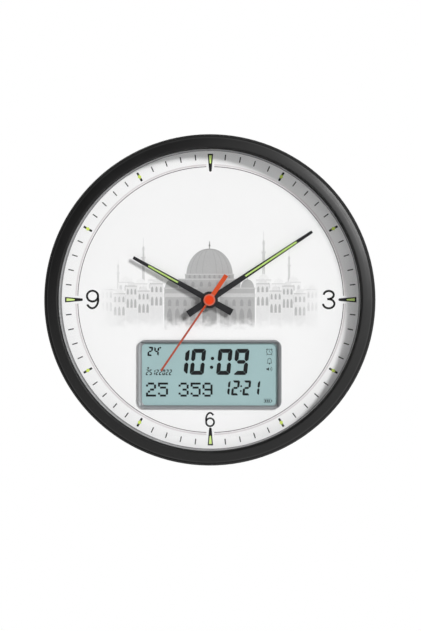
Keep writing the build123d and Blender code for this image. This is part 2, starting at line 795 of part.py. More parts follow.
with BuildPart() as intermediate_wheel:
    toothed_disc(intermediate_xz, layer_a, intermediate_teeth, rotor_module, intermediate_phase)
    toothed_disc(intermediate_xz, layer_b, intermediate_pinion_teeth, intermediate_module,
                 intermediate_pinion_phase, pinion=True)
    arbor(intermediate_xz, layer_a, layer_d)
intermediate_wheel.part.label = "intermediate_wheel"
export_step(intermediate_wheel.part, "parts/intermediate_wheel.step")

with BuildPart() as second_wheel:
    toothed_disc(axis_xz, layer_b, second_teeth, intermediate_module, second_phase)
    toothed_disc(axis_xz, layer_c, second_pinion_teeth, second_module, second_pinion_phase, pinion=True)
    post(axis_xz, layer_a, second_arbor_end, second_arbor_r)
    post(axis_xz, pivot_back, layer_a, pivot_r)
second_wheel.part.label = "second_wheel"
export_step(second_wheel.part, "parts/second_wheel.step")

with BuildPart() as third_wheel:
    toothed_disc(third_xz, layer_c, third_teeth, second_module, third_phase)
    toothed_disc(third_xz, layer_d, third_pinion_teeth, third_module, third_pinion_phase, pinion=True)
    arbor(third_xz, layer_a, layer_d + tooth_t)
third_wheel.part.label = "third_wheel"
export_step(third_wheel.part, "parts/third_wheel.step")

with BuildPart() as centre_wheel:
    toothed_disc(axis_xz, layer_d, centre_teeth, third_module, centre_phase)
    post(axis_xz, layer_d, layer_d + tooth_t, minute_foot_r + running_gap / 2, Mode.SUBTRACT)
centre_wheel.part.label = "centre_wheel"
export_step(centre_wheel.part, "parts/centre_wheel.step")

# ---------------------------------------------------------------- motion work, set by the knob
with BuildPart() as cannon_pinion:
    toothed_disc(axis_xz, layer_e, cannon_teeth, motion_module, cannon_phase, pinion=True)
    post(axis_xz, layer_e, minute_arbor_end, minute_arbor_r)
    post(axis_xz, layer_d, layer_e, minute_foot_r)
    post(axis_xz, layer_d, minute_arbor_end, second_arbor_r + running_gap, Mode.SUBTRACT)
cannon_pinion.part.label = "cannon_pinion"
export_step(cannon_pinion.part, "parts/cannon_pinion.step")

with BuildPart() as motion_wheel:
    toothed_disc(motion_xz, layer_e, motion_teeth, motion_module, motion_phase)
    toothed_disc(motion_xz, layer_f, motion_pinion_teeth, hour_module, motion_pinion_phase, pinion=True)
    post(motion_xz, layer_e, layer_f, 2 * arbor_r)
    post(motion_xz, layer_e, layer_f + tooth_t, arbor_r + running_gap, Mode.SUBTRACT)
motion_wheel.part.label = "motion_wheel"
export_step(motion_wheel.part, "parts/motion_wheel.step")

with BuildPart() as hour_wheel:
    toothed_disc(axis_xz, layer_f, hour_teeth, hour_module, hour_phase)
    post(axis_xz, layer_f, hour_pipe_end, hour_pipe_r)
    post(axis_xz, layer_f, hour_pipe_end, minute_arbor_r + running_gap, Mode.SUBTRACT)
hour_wheel.part.label = "hour_wheel"
export_step(hour_wheel.part, "parts/hour_wheel.step")

knob_front = movement_back - fit_gap
with BuildPart() as setting_knob:
    with BuildSketch(facing(knob_front - knob_t)):
        with Locations(knob_xz):
            Circle(knob_r)
            with PolarLocations(knob_r + knob_grip_out, knob_grips):
                Circle(knob_grip_r, mode=Mode.SUBTRACT)
    extrude(amount=knob_t)
    post(knob_xz, knob_front, layer_e, knob_stem_r)
    toothed_disc(knob_xz, layer_e, knob_teeth, motion_module, knob_phase, pinion=True)
    post(knob_xz, layer_e + tooth_t, case_inner_front + movement_wall / 4, knob_tip_r)
setting_knob.part.label = "setting_knob"
export_step(setting_knob.part, "parts/setting_knob.step")

# ---------------------------------------------------------------- stepping motor, oscillator and cell
stator_back = (layer_b + layer_d + tooth_t) / 2 - stator_t
stator_front = stator_back + stator_t
pad_low = (coil_x, coil_low - coil_flange_t - stator_arm_w)
pad_high = (coil_x, coil_high + coil_flange_t + stator_arm_w)
with BuildPart() as stator:
    with BuildSketch(facing(stator_back)):
        with BuildLine():
            Polyline(pad_high, (rotor_xz[0] + stator_arm_w, pad_high[1]), rotor_xz,
                     (rotor_xz[0] + stator_arm_w, pad_low[1]), pad_low)
        trace(line_width=stator_arm_w)
        with Locations(rotor_xz):
            Circle(magnet_r + fit_gap + stator_ring_w)
            Circle(magnet_r + fit_gap, mode=Mode.SUBTRACT)
    extrude(amount=stator_t)
stator.part.label = "stator"
export_step(stator.part, "parts/stator.step")

core_length = pad_high[1] - pad_low[1] + stator_arm_w
core_middle = (coil_x, (pad_high[1] + pad_low[1]) / 2)
with BuildPart() as coil_core:
    block(core_middle, stator_front, stator_front + core_t, core_w, core_length)
coil_core.part.label = "coil_core"
export_step(coil_core.part, "parts/coil_core.step")

# the coil stands along Z, so its sketch planes are horizontal
coil_height = stator_front + core_t / 2
coil_plane = Plane(origin=(coil_x, -coil_height, coil_low), x_dir=(1, 0, 0), z_dir=(0, 0, 1))
coil_length = coil_high - coil_low
bobbin_bore = (core_w + 2 * running_gap, core_t + 2 * running_gap)
bobbin_r = math.hypot(*bobbin_bore) / 2 + bobbin_wall
with BuildPart() as coil_bobbin:
    with BuildSketch(coil_plane):
        Circle(bobbin_r)
    extrude(amount=coil_length)
    with BuildSketch(coil_plane, coil_plane.offset(coil_length - coil_flange_t)):
        Circle(coil_r)
    extrude(amount=coil_flange_t)
    with BuildSketch(coil_plane):
        Rectangle(*bobbin_bore)
    extrude(amount=coil_length, mode=Mode.SUBTRACT)
coil_bobbin.part.label = "coil_bobbin"
export_step(coil_bobbin.part, "parts/coil_bobbin.step")

with BuildPart() as coil_winding:
    with BuildSketch(coil_plane.offset(coil_flange_t)):
        Circle(coil_r - fit_gap)
        Circle(bobbin_r, mode=Mode.SUBTRACT)
    extrude(amount=coil_length - 2 * coil_flange_t)
coil_winding.part.label = "coil_winding"
export_step(coil_winding.part, "parts/coil_winding.step")

quartz_board_xz = (quartz_board_x, train_top - movement_wall - fit_gap - quartz_board_h / 2)
with BuildPart() as quartz_board:
    block(quartz_board_xz, case_inner_back, case_inner_back + board_t, quartz_board_w, quartz_board_h)
    post((quartz_board_x + driver_blob_x, quartz_board_xz[1]), case_inner_back + board_t,
         case_inner_back + board_t + chip_t, driver_blob_r)
quartz_board.part.label = "quartz_board"
export_step(quartz_board.part, "parts/quartz_board.step")

crystal_plane = Plane(
    origin=(quartz_board_x + crystal_x, -(case_inner_back + board_t + crystal_r), quartz_board_xz[1]),
    x_dir=(0, 0, 1),
    z_dir=(1, 0, 0),
)
with BuildPart() as quartz_crystal:
    with BuildSketch(crystal_plane):
        Circle(crystal_r)
    extrude(amount=crystal_length)
quartz_crystal.part.label = "quartz_crystal"
export_step(quartz_crystal.part, "parts/quartz_crystal.step")


def aa_cell(middle_x, z, height, nub_side):
    """AA cell lying along X, its button towards nub_side (1 or -1)."""
    can_length = cell_length - cell_nub_t
    start = Plane(
        origin=(middle_x - nub_side * cell_length / 2, -height, z), x_dir=(0, 0, 1), z_dir=(nub_side, 0, 0)
    )
    with BuildSketch(start) as can:
        Circle(cell_r)
    extrude(can.sketch, amount=can_length)
    with BuildSketch(start.offset(can_length)) as nub:
        Circle(cell_nub_r)
    extrude(nub.sketch, amount=cell_nub_t)


with BuildPart() as movement_cell:
    aa_cell(0, cell_z, cell_height, 1)
movement_cell.part.label = "movement_cell"
export_step(movement_cell.part, "parts/movement_cell.step")

movement_contact_x = cell_length / 2 + contact_t / 2
with BuildPart() as movement_contacts:
    for side_x in (-movement_contact_x, movement_contact_x):
        block((side_x, cell_z), cell_height - contact_w / 2, case_inner_front, contact_t, contact_w)
movement_contacts.part.label = "movement_contacts"
export_step(movement_contacts.part, "parts/movement_contacts.step")

# ---------------------------------------------------------------- hands
with BuildPart() as hour_hand:
    tapered_blade(hour_angle, hand_tail, hour_tip, hand_tail_w, hour_tip_w, hour_back, hand_t)
    post(axis_xz, hour_back, hour_front, hub_r)
    post(axis_xz, hour_back - hand_collar_t, hour_back, hour_pipe_r + hand_collar_w)
    post(axis_xz, hour_back - hand_collar_t, hour_front, hour_pipe_r + screw_gap, Mode.SUBTRACT)
    lume_slot(hour_angle, hour_lume, hour_back, hand_t, screw_gap, Mode.SUBTRACT)
hour_hand.part.label = "hour_hand"
export_step(hour_hand.part, "parts/hour_hand.step")

with BuildPart() as hour_lume_fill:
    lume_slot(hour_angle, hour_lume, hour_back, lume_t, 0, Mode.ADD)
hour_lume_fill.part.label = "hour_lume_fill"
export_step(hour_lume_fill.part, "parts/hour_lume_fill.step")

with BuildPart() as minute_hand:
    tapered_blade(minute_angle, hand_tail, minute_tip, hand_tail_w, minute_tip_w, minute_back, hand_t)
    post(axis_xz, minute_back, minute_front, hub_r)
    post(axis_xz, minute_back - hand_collar_t, minute_back, minute_arbor_r + hand_collar_w)
    post(axis_xz, minute_back - hand_collar_t, minute_front, minute_arbor_r + screw_gap, Mode.SUBTRACT)
    lume_slot(minute_angle, minute_lume, minute_back, hand_t, screw_gap, Mode.SUBTRACT)
minute_hand.part.label = "minute_hand"
export_step(minute_hand.part, "parts/minute_hand.step")

with BuildPart() as minute_lume_fill:
    lume_slot(minute_angle, minute_lume, minute_back, lume_t, 0, Mode.ADD)
minute_lume_fill.part.label = "minute_lume_fill"
export_step(minute_lume_fill.part, "parts/minute_lume_fill.step")

with BuildPart() as second_hand:
    tapered_blade(second_angle, 0, second_tip, second_w, second_w, second_back, second_t)
    tapered_blade(second_angle + 180, 0, second_tail, second_tail_w, second_tail_w, second_back, second_t)
    post(axis_xz, second_back, second_front, second_hub_r)
    pipe_back = minute_arbor_end + second_gap
    post(axis_xz, pipe_back, second_arbor_end, second_arbor_r + second_pipe_wall)
    post(axis_xz, pipe_back, second_arbor_end, second_arbor_r + screw_gap, Mode.SUBTRACT)
second_hand.part.label = "second_hand"
export_step(second_hand.part, "parts/second_hand.step")

with BuildPart() as second_hand_cap:
    post(axis_xz, second_front, cap_front, cap_r)
    post(axis_xz, second_front, second_arbor_end, second_arbor_r + second_pipe_wall + screw_gap,
         Mode.SUBTRACT)
    fillet(second_hand_cap.edges().sort_by(Axis.Y)[0], radius=cap_t / 3)
second_hand_cap.part.label = "second_hand_cap"
export_step(second_hand_cap.part, "parts/second_hand_cap.step")

# ---------------------------------------------------------------- rear cover
speaker_posts = [polar(speaker_post_r, angle, (0, speaker_z)) for angle in speaker_post_angles]
key_screws = [
    (key_board_x + x, z) for x in (-key_screw_x, key_screw_x) for z in (-key_screw_z, key_screw_z)
]
pocket_middle = (0, (pocket_low_z + pocket_high_z) / 2)
pocket_height = pocket_high_z - pocket_low_z
with BuildPart() as rear_cover:
    with BuildSketch(facing(cover_back)):
        Circle(cover_r)
    extrude(amount=cover_t)
    with BuildSketch(facing(cover_front)):
        Circle(cover_ring_r)
        Circle(cover_ring_in_r, mode=Mode.SUBTRACT)
    extrude(amount=carrier_back - cover_front)
    # diagonal ribs from the middle to the ring
    with BuildSketch(facing(cover_front)):
        with PolarLocations(cover_ring_in_r / 2, 4, start_angle=45):
            Rectangle(cover_ring_in_r, cover_rib_t)
    extrude(amount=cover_rib_h)

    # walled opening over the movement
    well_outer = 2 * (well_half + well_wall)
    block((0, movement_z), cover_front, well_front, well_outer, well_outer, movement_corner_r + well_wall)
    block((0, movement_z), cover_back, well_front, 2 * well_half, 2 * well_half, movement_corner_r,
          Mode.SUBTRACT)

    # support ring, posts and grille of the speaker
    post((0, speaker_z), cover_front, speaker_rim_back, speaker_r)
    post((0, speaker_z), cover_front, speaker_rim_back, speaker_r - speaker_seat_w, Mode.SUBTRACT)
    for place in speaker_posts:
        post(place, cover_front, speaker_rim_front, post_r - fit_gap)
    post((0, speaker_z), speaker_rim_back, speaker_rim_front, speaker_r + fit_gap, Mode.SUBTRACT)
    for place in speaker_posts:
        post(place, speaker_rim_front - screw_length, speaker_rim_front, screw_r + screw_gap, Mode.SUBTRACT)
    with BuildSketch(facing(cover_back)):
        bars_each_side = int((grille_r - grille_slot) / grille_pitch)
        for bar in range(-bars_each_side, bars_each_side + 1):
            bar_z = bar * grille_pitch
            bar_length = 2 * math.sqrt(grille_r**2 - bar_z**2)
            with Locations((0, speaker_z + bar_z)):
                SlotOverall(bar_length, grille_slot)
    extrude(amount=cover_t, mode=Mode.SUBTRACT)

    # keyhole with a closed pocket for the nail's head
    block(pocket_middle, cover_front, cover_front + pocket_depth + pocket_wall,
          2 * (pocket_side + pocket_wall), pocket_height + 2 * pocket_wall)
    block(pocket_middle, cover_front, cover_front + pocket_depth, 2 * pocket_side, pocket_height,
          mode=Mode.SUBTRACT)
    with BuildSketch(facing(cover_back)):
        with Locations((0, keyhole_z)):
            Circle(keyhole_r)
        with Locations((0, keyhole_z + keyhole_rise / 2)):
            SlotOverall(keyhole_rise + 2 * keyhole_slot_r, 2 * keyhole_slot_r, rotation=90)
    extrude(amount=cover_t, mode=Mode.SUBTRACT)

    # battery bay with its door recess and hinge holes
    block((bay_x, 0), cover_front, bay_top + bay_wall, bay_length + 2 * bay_wall, bay_height + 2 * bay_wall)
    block((bay_x, 0), cover_back, bay_top, bay_length, bay_height, mode=Mode.SUBTRACT)
    block((bay_x, 0), cover_back, cover_back + door_t + fit_gap / 3, door_w, door_h, mode=Mode.SUBTRACT)
    hinge_line = Plane(origin=(hinge_x, -hinge_height, 0), x_dir=(1, 0, 0), z_dir=(0, 0, 1))
    with BuildSketch(hinge_line):
        Circle(door_pin_r + running_gap)
    extrude(amount=door_h / 2 + door_pin_reach + fit_gap, both=True, mode=Mode.SUBTRACT)
    with BuildSketch(hinge_line):
        Circle(door_knuckle_r + fit_gap)
    extrude(amount=door_h / 2, both=True, mode=Mode.SUBTRACT)

    # keys and slide switch
    for z in key_z:
        post((key_x, z), cover_back, cover_front, key_r + fit_gap, Mode.SUBTRACT)
    block((switch_x, 0), cover_back, cover_front, slider_w + 2 * fit_gap,
          slider_h + switch_travel + 2 * fit_gap, mode=Mode.SUBTRACT)
    for place in key_screws:
        post(place, cover_front, key_board_back, post_r)
        post(place, key_board_back - screw_length, key_board_back, screw_r + screw_gap, Mode.SUBTRACT)

    # clearance holes for the cover screws
    with BuildSketch(facing(cover_back)):
        with PolarLocations(boss_ring_r, screw_count, start_angle=screw_start):
            Circle(cover_screw_r + fit_gap)
    extrude(amount=cover_t, mode=Mode.SUBTRACT)
rear_cover.part.label = "rear_cover"
export_step(rear_cover.part, "parts/rear_cover.step")

with BuildPart() as cover_screws:
    with BuildSketch(facing(cover_back)):
        with PolarLocations(boss_ring_r, screw_count, start_angle=screw_start):
            Circle(cover_screw_r)
    extrude(amount=cover_t + cover_screw_length)
    with BuildSketch(facing(cover_back - cover_screw_head_t)):
        with PolarLocations(boss_ring_r, screw_count, start_angle=screw_start):
            Circle(cover_screw_head_r)
    extrude(amount=cover_screw_head_t)
cover_screws.part.label = "cover_screws"
export_step(cover_screws.part, "parts/cover_screws.step")

with BuildPart() as battery_door:
    panel_length = door_end_x - hinge_x
    panel_height = door_h - 2 * fit_gap
    block((hinge_x + panel_length / 2, 0), cover_back, cover_back + door_t, panel_length, panel_height)
    with BuildSketch(hinge_line):
        Circle(door_knuckle_r)
    extrude(amount=panel_height / 2, both=True)
    with BuildSketch(hinge_line):
        Circle(door_pin_r)
    extrude(amount=door_h / 2 + door_pin_reach, both=True)
    # spring tongue at the free end, with ridges for the thumb
    for slit_z in (-door_slit_length, door_slit_length):
        block((door_end_x - door_slit_length / 2, slit_z), cover_back, cover_back + door_t, door_slit_length,
              door_slit_w, mode=Mode.SUBTRACT)
    for ridge in range(3):
        ridge_x = door_end_x - door_grip_inset - door_grip_pitch * ridge
        block((ridge_x, 0), cover_back - door_grip_t, cover_back, door_grip_w, door_slit_length)
battery_door.part.label = "battery_door"
export_step(battery_door.part, "parts/battery_door.step")

with BuildPart() as display_cells:
    aa_cell(bay_x, bay_cell_z, bay_cell_height, 1)
    aa_cell(bay_x, -bay_cell_z, bay_cell_height, -1)
display_cells.part.label = "display_cells"
export_step(display_cells.part, "parts/display_cells.step")

bay_contact_x = cell_length / 2 + contact_t / 2
with BuildPart() as display_contacts:
    for x in (bay_x - bay_contact_x, bay_x + bay_contact_x):
        for z in (-bay_cell_z, bay_cell_z):
            block((x, z), bay_cell_height - contact_w / 2, bay_top, contact_t, contact_w)
display_contacts.part.label = "display_contacts"
export_step(display_contacts.part, "parts/display_contacts.step")

# ---------------------------------------------------------------- speaker
basket_front = speaker_front - speaker_magnet_t
with BuildPart() as speaker_frame:
    with BuildSketch(section):
        with BuildLine():
            Polyline(
                (speaker_r, speaker_rim_back),
                (speaker_r, speaker_rim_front),
                (speaker_r - speaker_rim_w + speaker_shell, speaker_rim_front),
                (speaker_magnet_r, basket_front),
                (cone_throat_r, basket_front),
                (cone_throat_r, basket_front - speaker_shell),
                (speaker_magnet_r - speaker_shell, basket_front - speaker_shell),
                (speaker_r - speaker_rim_w, speaker_rim_back),
                close=True,
            )
        make_face()
    revolve(axis=Axis.Y)
speaker_frame.part.position = (0, 0, speaker_z)
speaker_frame.part.label = "speaker_frame"
export_step(speaker_frame.part, "parts/speaker_frame.step")

with BuildPart() as speaker_magnet:
    post((0, speaker_z), basket_front, speaker_front, speaker_magnet_r)
    chamfer(speaker_magnet.edges().sort_by(Axis.Y)[0], length=speaker_shell)
speaker_magnet.part.label = "speaker_magnet"
export_step(speaker_magnet.part, "parts/speaker_magnet.step")

# the cone hangs from a flat surround that is glued to the back of the rim
surround_r = speaker_r - speaker_seat_w - fit_gap
cone_start_r = speaker_r - speaker_rim_w - 2 * cone_t
cone_front = basket_front - speaker_shell - fit_gap
with BuildPart() as speaker_cone:
    with BuildSketch(section):
        with BuildLine():
            Polyline(
                (surround_r, speaker_rim_back),
                (surround_r, speaker_rim_back - cone_t),
                (cone_start_r - cone_t, speaker_rim_back - cone_t),
                (cone_throat_r - cone_t, cone_front - cone_t),
                (0, cone_front - cone_t),
                (0, cone_front),
                (cone_throat_r, cone_front),
                (cone_start_r, speaker_rim_back),
                close=True,
            )
        make_face()
    revolve(axis=Axis.Y)
speaker_cone.part.position = (0, 0, speaker_z)
speaker_cone.part.label = "speaker_cone"
export_step(speaker_cone.part, "parts/speaker_cone.step")

# ---------------------------------------------------------------- keys and slide switch
for name, z in zip(key_names, key_z):
    with BuildPart() as key:
        post((key_x, z), key_back, key_flange_back, key_r)
        post((key_x, z), key_flange_back, key_flange_back + key_flange_t, key_flange_r)
        post((key_x, z), key_flange_back + key_flange_t, key_stem_end, key_stem_r)
        fillet(key.edges().sort_by(Axis.Y)[-1], radius=key_proud / 3)
    key.part.label = name
    export_step(key.part, f"parts/{name}.step")

with BuildPart() as tact_switches:
    for z in key_z:
        block((key_x, z), tact_back, key_board_back, tact_size, tact_size)
        post((key_x, z), tact_back, key_board_back - fit_gap, key_stem_r + running_gap, Mode.SUBTRACT)
tact_switches.part.label = "tact_switches"
export_step(tact_switches.part, "parts/tact_switches.step")

switch_rest_z = -switch_travel / 2
slider_back = cover_back - slider_proud
slider_foot_front = cover_front + fit_gap + slider_foot
with BuildPart() as switch_slider:
    block((switch_x, switch_rest_z), slider_back, cover_front + fit_gap, slider_w, slider_h)
    block((switch_x, switch_rest_z), cover_front + fit_gap, slider_foot_front, slider_w + slider_foot,
          slider_h)
    block((switch_x, switch_rest_z), slider_foot_front, tact_back + slider_foot, slider_foot, slider_foot)
switch_slider.part.label = "switch_slider"
export_step(switch_slider.part, "parts/switch_slider.step")

with BuildPart() as switch_body:
    block((switch_x, 0), tact_back, key_board_back, 2 * slider_h, 4 * slider_h)
    block((switch_x, 0), tact_back, tact_back + slider_foot + fit_gap, slider_foot + 2 * fit_gap,
          slider_foot + switch_travel + 2 * fit_gap, mode=Mode.SUBTRACT)
switch_body.part.label = "switch_body"
export_step(switch_body.part, "parts/switch_body.step")

with BuildPart() as key_board:
    block((key_board_x, 0), key_board_back, key_board_back + board_t, key_board_w, key_board_h, post_r)
    for place in key_screws:
        post(place, key_board_back, key_board_back + board_t, screw_r + fit_gap, Mode.SUBTRACT)
key_board.part.label = "key_board"
export_step(key_board.part, "parts/key_board.step")

# ---------------------------------------------------------------- small screws
with BuildPart() as small_screws:
    for place in key_screws:
        post(place, key_board_back + board_t - screw_length, key_board_back + board_t, screw_r)
        post(place, key_board_back + board_t, key_board_back + board_t + screw_head_t, screw_head_r)
    for place in speaker_posts:
        tapping_screw(place, speaker_rim_front)
    for place in board_posts:
        post(place, board_back, board_back + screw_length, screw_r)
        post(place, board_back - screw_head_t, board_back, screw_head_r)
small_screws.part.label = "small_screws"
export_step(small_screws.part, "parts/small_screws.step")
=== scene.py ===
import json
import math

import bmesh
import bpy
from mathutils import Matrix, Vector

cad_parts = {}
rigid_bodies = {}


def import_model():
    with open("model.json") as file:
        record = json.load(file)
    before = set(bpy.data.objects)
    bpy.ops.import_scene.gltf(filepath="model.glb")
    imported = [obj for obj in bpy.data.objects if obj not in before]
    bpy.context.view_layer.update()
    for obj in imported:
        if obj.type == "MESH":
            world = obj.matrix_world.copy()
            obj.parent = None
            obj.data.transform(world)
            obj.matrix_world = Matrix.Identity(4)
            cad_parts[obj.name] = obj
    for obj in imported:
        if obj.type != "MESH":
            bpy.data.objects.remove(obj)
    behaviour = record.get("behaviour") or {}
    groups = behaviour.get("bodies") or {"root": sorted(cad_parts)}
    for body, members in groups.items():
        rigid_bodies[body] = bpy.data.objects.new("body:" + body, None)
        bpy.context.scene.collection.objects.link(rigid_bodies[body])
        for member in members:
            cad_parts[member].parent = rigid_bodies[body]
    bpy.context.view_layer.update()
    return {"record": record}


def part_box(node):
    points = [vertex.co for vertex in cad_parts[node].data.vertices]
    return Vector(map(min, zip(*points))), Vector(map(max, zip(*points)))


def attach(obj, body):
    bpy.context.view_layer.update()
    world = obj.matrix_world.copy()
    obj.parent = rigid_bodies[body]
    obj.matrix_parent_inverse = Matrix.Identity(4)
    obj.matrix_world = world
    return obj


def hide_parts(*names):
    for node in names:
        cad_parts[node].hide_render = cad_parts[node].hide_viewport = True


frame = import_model()

# Sizes are in millimetres from the axis of the hands: x to the right, z up, and height off the wall
# towards the room. Names that end in _R are radii.
MM = 0.001
INK = 0.03                   # thickness of a printed layer
WHITE = 0.887                # the dial's own white


def front_of(node):
    """Height of a piece's front off the wall."""
    return -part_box(node)[0].y / MM


def back_of(node):
    """Height of a piece's back off the wall."""
    return -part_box(node)[1].y / MM


def middle_of(node):
    """Middle of a piece seen from the front."""
    low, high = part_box(node)
    return ((low.x + high.x) / 2 / MM, (low.z + high.z) / 2 / MM)


def half_width_of(node):
    """Half the width of a piece across the front."""
    low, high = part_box(node)
    return (high.x - low.x) / 2 / MM


# ---------------------------------------------------------------- wiring of materials
def grey(value):
    """A neutral colour."""
    return (value, value, value, 1.0)


def rgb(red, green, blue):
    """An opaque colour."""
    return (red, green, blue, 1.0)


class Wiring:
    """Adds nodes to one tree and joins them."""

    def __init__(self, tree):
        self.tree = tree

    def add(self, kind, sockets=None, **settings):
        """One shader node with its settings, fed with numbers, colours or other nodes' outputs."""
        node = self.tree.nodes.new("ShaderNode" + kind)
        for setting, value in settings.items():
            setattr(node, setting, value)
        for name, value in (sockets or {}).items():
            self.feed(node.inputs[name], value)
        return node

    def feed(self, socket, value):
        """Sets a socket, or joins it to another node's output."""
        if isinstance(value, bpy.types.NodeSocket):
            self.tree.links.new(value, socket)
        else:
            socket.default_value = value

    def maths(self, operation, first, second=0.0, third=0.0):
        """One sum, with its result."""
        node = self.add("Math", {0: first, 1: second, 2: third}, operation=operation)
        return node.outputs[0]

    def vectors(self, operation, first, second=(0.0, 0.0, 0.0)):
        """One sum of vectors, with its result."""
        node = self.add("VectorMath", {0: first, 1: second}, operation=operation)
        return node.outputs["Value" if operation in ("DOT_PRODUCT", "LENGTH") else "Vector"]

    def between(self, value, low, high, to_low=0.0, to_high=1.0, steps="LINEAR"):
        """A value's place between two limits, held at both ends."""
        sockets = {"Value": value, "From Min": low, "From Max": high, "To Min": to_low, "To Max": to_high}
        return self.add("MapRange", sockets, interpolation_type=steps).outputs["Result"]

    def blend(self, share, first, second):
        """Two colours mixed."""
        node = self.add("Mix", {"Factor": share, "A": first, "B": second}, data_type="RGBA")
        return node.outputs["Result"]

    def mixed(self, share, first, second):
        """Two shader nodes mixed."""
        return self.add("MixShader", {0: share, 1: first.outputs[0], 2: second.outputs[0]})

    def place(self):
        """The point's own place on the clock, in metres."""
        return self.add("TexCoord").outputs["Object"]

    def parts(self, vector):
        """The three numbers of a vector."""
        return self.add("SeparateXYZ", {0: vector}).outputs

    def noise(self, scale, detail, roughness=0.5, vector=None):
        """Clouded noise over the clock, or over another vector."""
        where = self.place() if vector is None else vector
        sockets = {"Vector": where, "Scale": scale, "Detail": detail, "Roughness": roughness}
        return self.add("TexNoise", sockets).outputs["Fac"]

    def sway(self, noise):
        """A noise spread from -1 to 1."""
        return self.between(noise, 0.3, 0.7, -1.0, 1.0)

    def rounded(self, radius):
        """The surface's normal, with its edges rounded."""
        return self.add("Bevel", {"Radius": radius}, samples=4).outputs[0]

    def relief(self, height, depth, normal):
        """A normal with a relief on it."""
        return self.add("Bump", {"Height": height, "Distance": depth, "Normal": normal}).outputs[0]


# Kinds of the effects' sockets; the others are numbers.
SOCKET_KINDS = {"Colour": "Color", "Rubbed": "Color", "Lines": "Vector", "Low": "Vector", "High": "Vector",
                "Normal": "Vector"}


class Effect(Wiring):
    """A shared effect with named outputs and inputs, built once and placed in many materials."""

    def __init__(self, name, outputs, **inputs):
        super().__init__(bpy.data.node_groups.new(name, "ShaderNodeTree"))
        for socket, value in inputs.items():
            self.socket(socket, "INPUT").default_value = value
        for socket in outputs:
            self.socket(socket, "OUTPUT")
        self.given = self.tree.nodes.new("NodeGroupInput").outputs
        self.results = self.tree.nodes.new("NodeGroupOutput").inputs

    def socket(self, name, way):
        """Adds an input or an output."""
        kind = "NodeSocket" + SOCKET_KINDS.get(name, "Float")
        return self.tree.interface.new_socket(name, in_out=way, socket_type=kind)

    def toned(self, noise, gloss_share):
        """The given colour and roughness, made uneven by a noise."""
        swing = self.maths("MULTIPLY", self.sway(noise), self.given["Change"])
        value = self.maths("ADD", swing, 1.0)
        tone = self.add("HueSaturation", {"Value": value, "Color": self.given["Colour"]})
        gloss = self.maths("MULTIPLY_ADD", swing, gloss_share, self.given["Roughness"])
        return {"Colour": tone.outputs[0], "Roughness": gloss}

    def give(self, **results):
        """Joins values to the effect's outputs."""
        for name, value in results.items():
            self.feed(self.results[name], value)
        return self.tree


class Finish(Wiring):
    """A material with its shader, ready for its effects."""

    def __init__(self, name, **sockets):
        self.material = bpy.data.materials.new(name)
        self.material.use_nodes = True
        super().__init__(self.material.node_tree)
        self.tree.nodes.clear()
        self.shader = self.add("BsdfPrincipled")
        self.surface = self.add("OutputMaterial", {"Surface": self.shader.outputs[0]})
        self.shade(**sockets)

    def shade(self, **sockets):
        """Sets or joins the shader's sockets, named with underscores for spaces."""
        for name, value in sockets.items():
            self.feed(self.shader.inputs[name.replace("_", " ")], value)

    def effect(self, tree, **sockets):
        """Places a shared effect with this material's own values."""
        node = self.add("Group", node_tree=tree)
        for name, value in sockets.items():
            self.feed(node.inputs[name.replace("_", " ")], value)
        return node.outputs

    def skin(self, grain, depth, edge):
        """Normal of a grained surface: grains in a metre, and depth and rounding of edges in millimetres."""
        return self.effect(mould_texture, Grain=grain, Depth=depth * MM, Edge=edge * MM)["Normal"]

    def worn(self, colour, rubbed, width, amount):
        """A colour rubbed through along its edges, over a width in millimetres."""
        sockets = {"Colour": colour, "Rubbed": rubbed, "Width": width * MM, "Amount": amount}
        return self.effect(worn_edges, **sockets)["Colour"]

    def out(self):
        """The point's distance from the axis of the hands, in metres."""
        return self.effect(axis_distance)["Distance"]

    def beyond(self, radius, blur, inside=0.0, outside=1.0):
        """A value that changes at a radius from the axis of the hands, both sizes in millimetres."""
        return self.between(self.out(), (radius - blur) * MM, (radius + blur) * MM, inside, outside)

    def handled(self, colour, roughness, normal, patches, change):
        """Gives the shader its colour, its gloss and its normal, the first two made uneven by handling."""
        tone = self.effect(handling, Colour=colour, Roughness=roughness, Patches=patches, Change=change)
        self.shade(Base_Color=tone["Colour"], Roughness=tone["Roughness"], Normal=normal)
        return self


def make_mould_texture():
    """Fine moulded grain over softly rounded edges."""
    e = Effect("mould_texture", ["Normal"], Grain=2500.0, Depth=0.010 * MM, Edge=0.2 * MM)
    pits = e.noise(e.given["Grain"], 3.0, 0.6)
    return e.give(Normal=e.relief(pits, e.given["Depth"], e.rounded(e.given["Edge"])))


def make_handling():
    """Slow changes of tone and gloss, as handling and cleaning leave them."""
    e = Effect("handling", ["Colour", "Roughness"], Colour=grey(0.5), Roughness=0.5, Patches=30.0,
               Change=0.1)
    return e.give(**e.toned(e.noise(e.given["Patches"], 4.0, 0.55), 0.5))


def make_worn_edges():
    """Edges rubbed through to another colour, more in some places than in others."""
    e = Effect("worn_edges", ["Colour"], Colour=grey(0.5), Rubbed=grey(0.7), Width=0.4 * MM, Amount=0.5)
    flat = e.add("NewGeometry").outputs["Normal"]
    edge = e.between(e.vectors("DOT_PRODUCT", e.rounded(e.given["Width"]), flat), 0.995, 0.86)
    rubbed = e.between(e.noise(120.0, 5.0, 0.7), 0.35, 0.65, 0.35, 1.0)
    share = e.maths("MULTIPLY", e.maths("MULTIPLY", edge, rubbed), e.given["Amount"])
    return e.give(Colour=e.blend(share, e.given["Colour"], e.given["Rubbed"]))


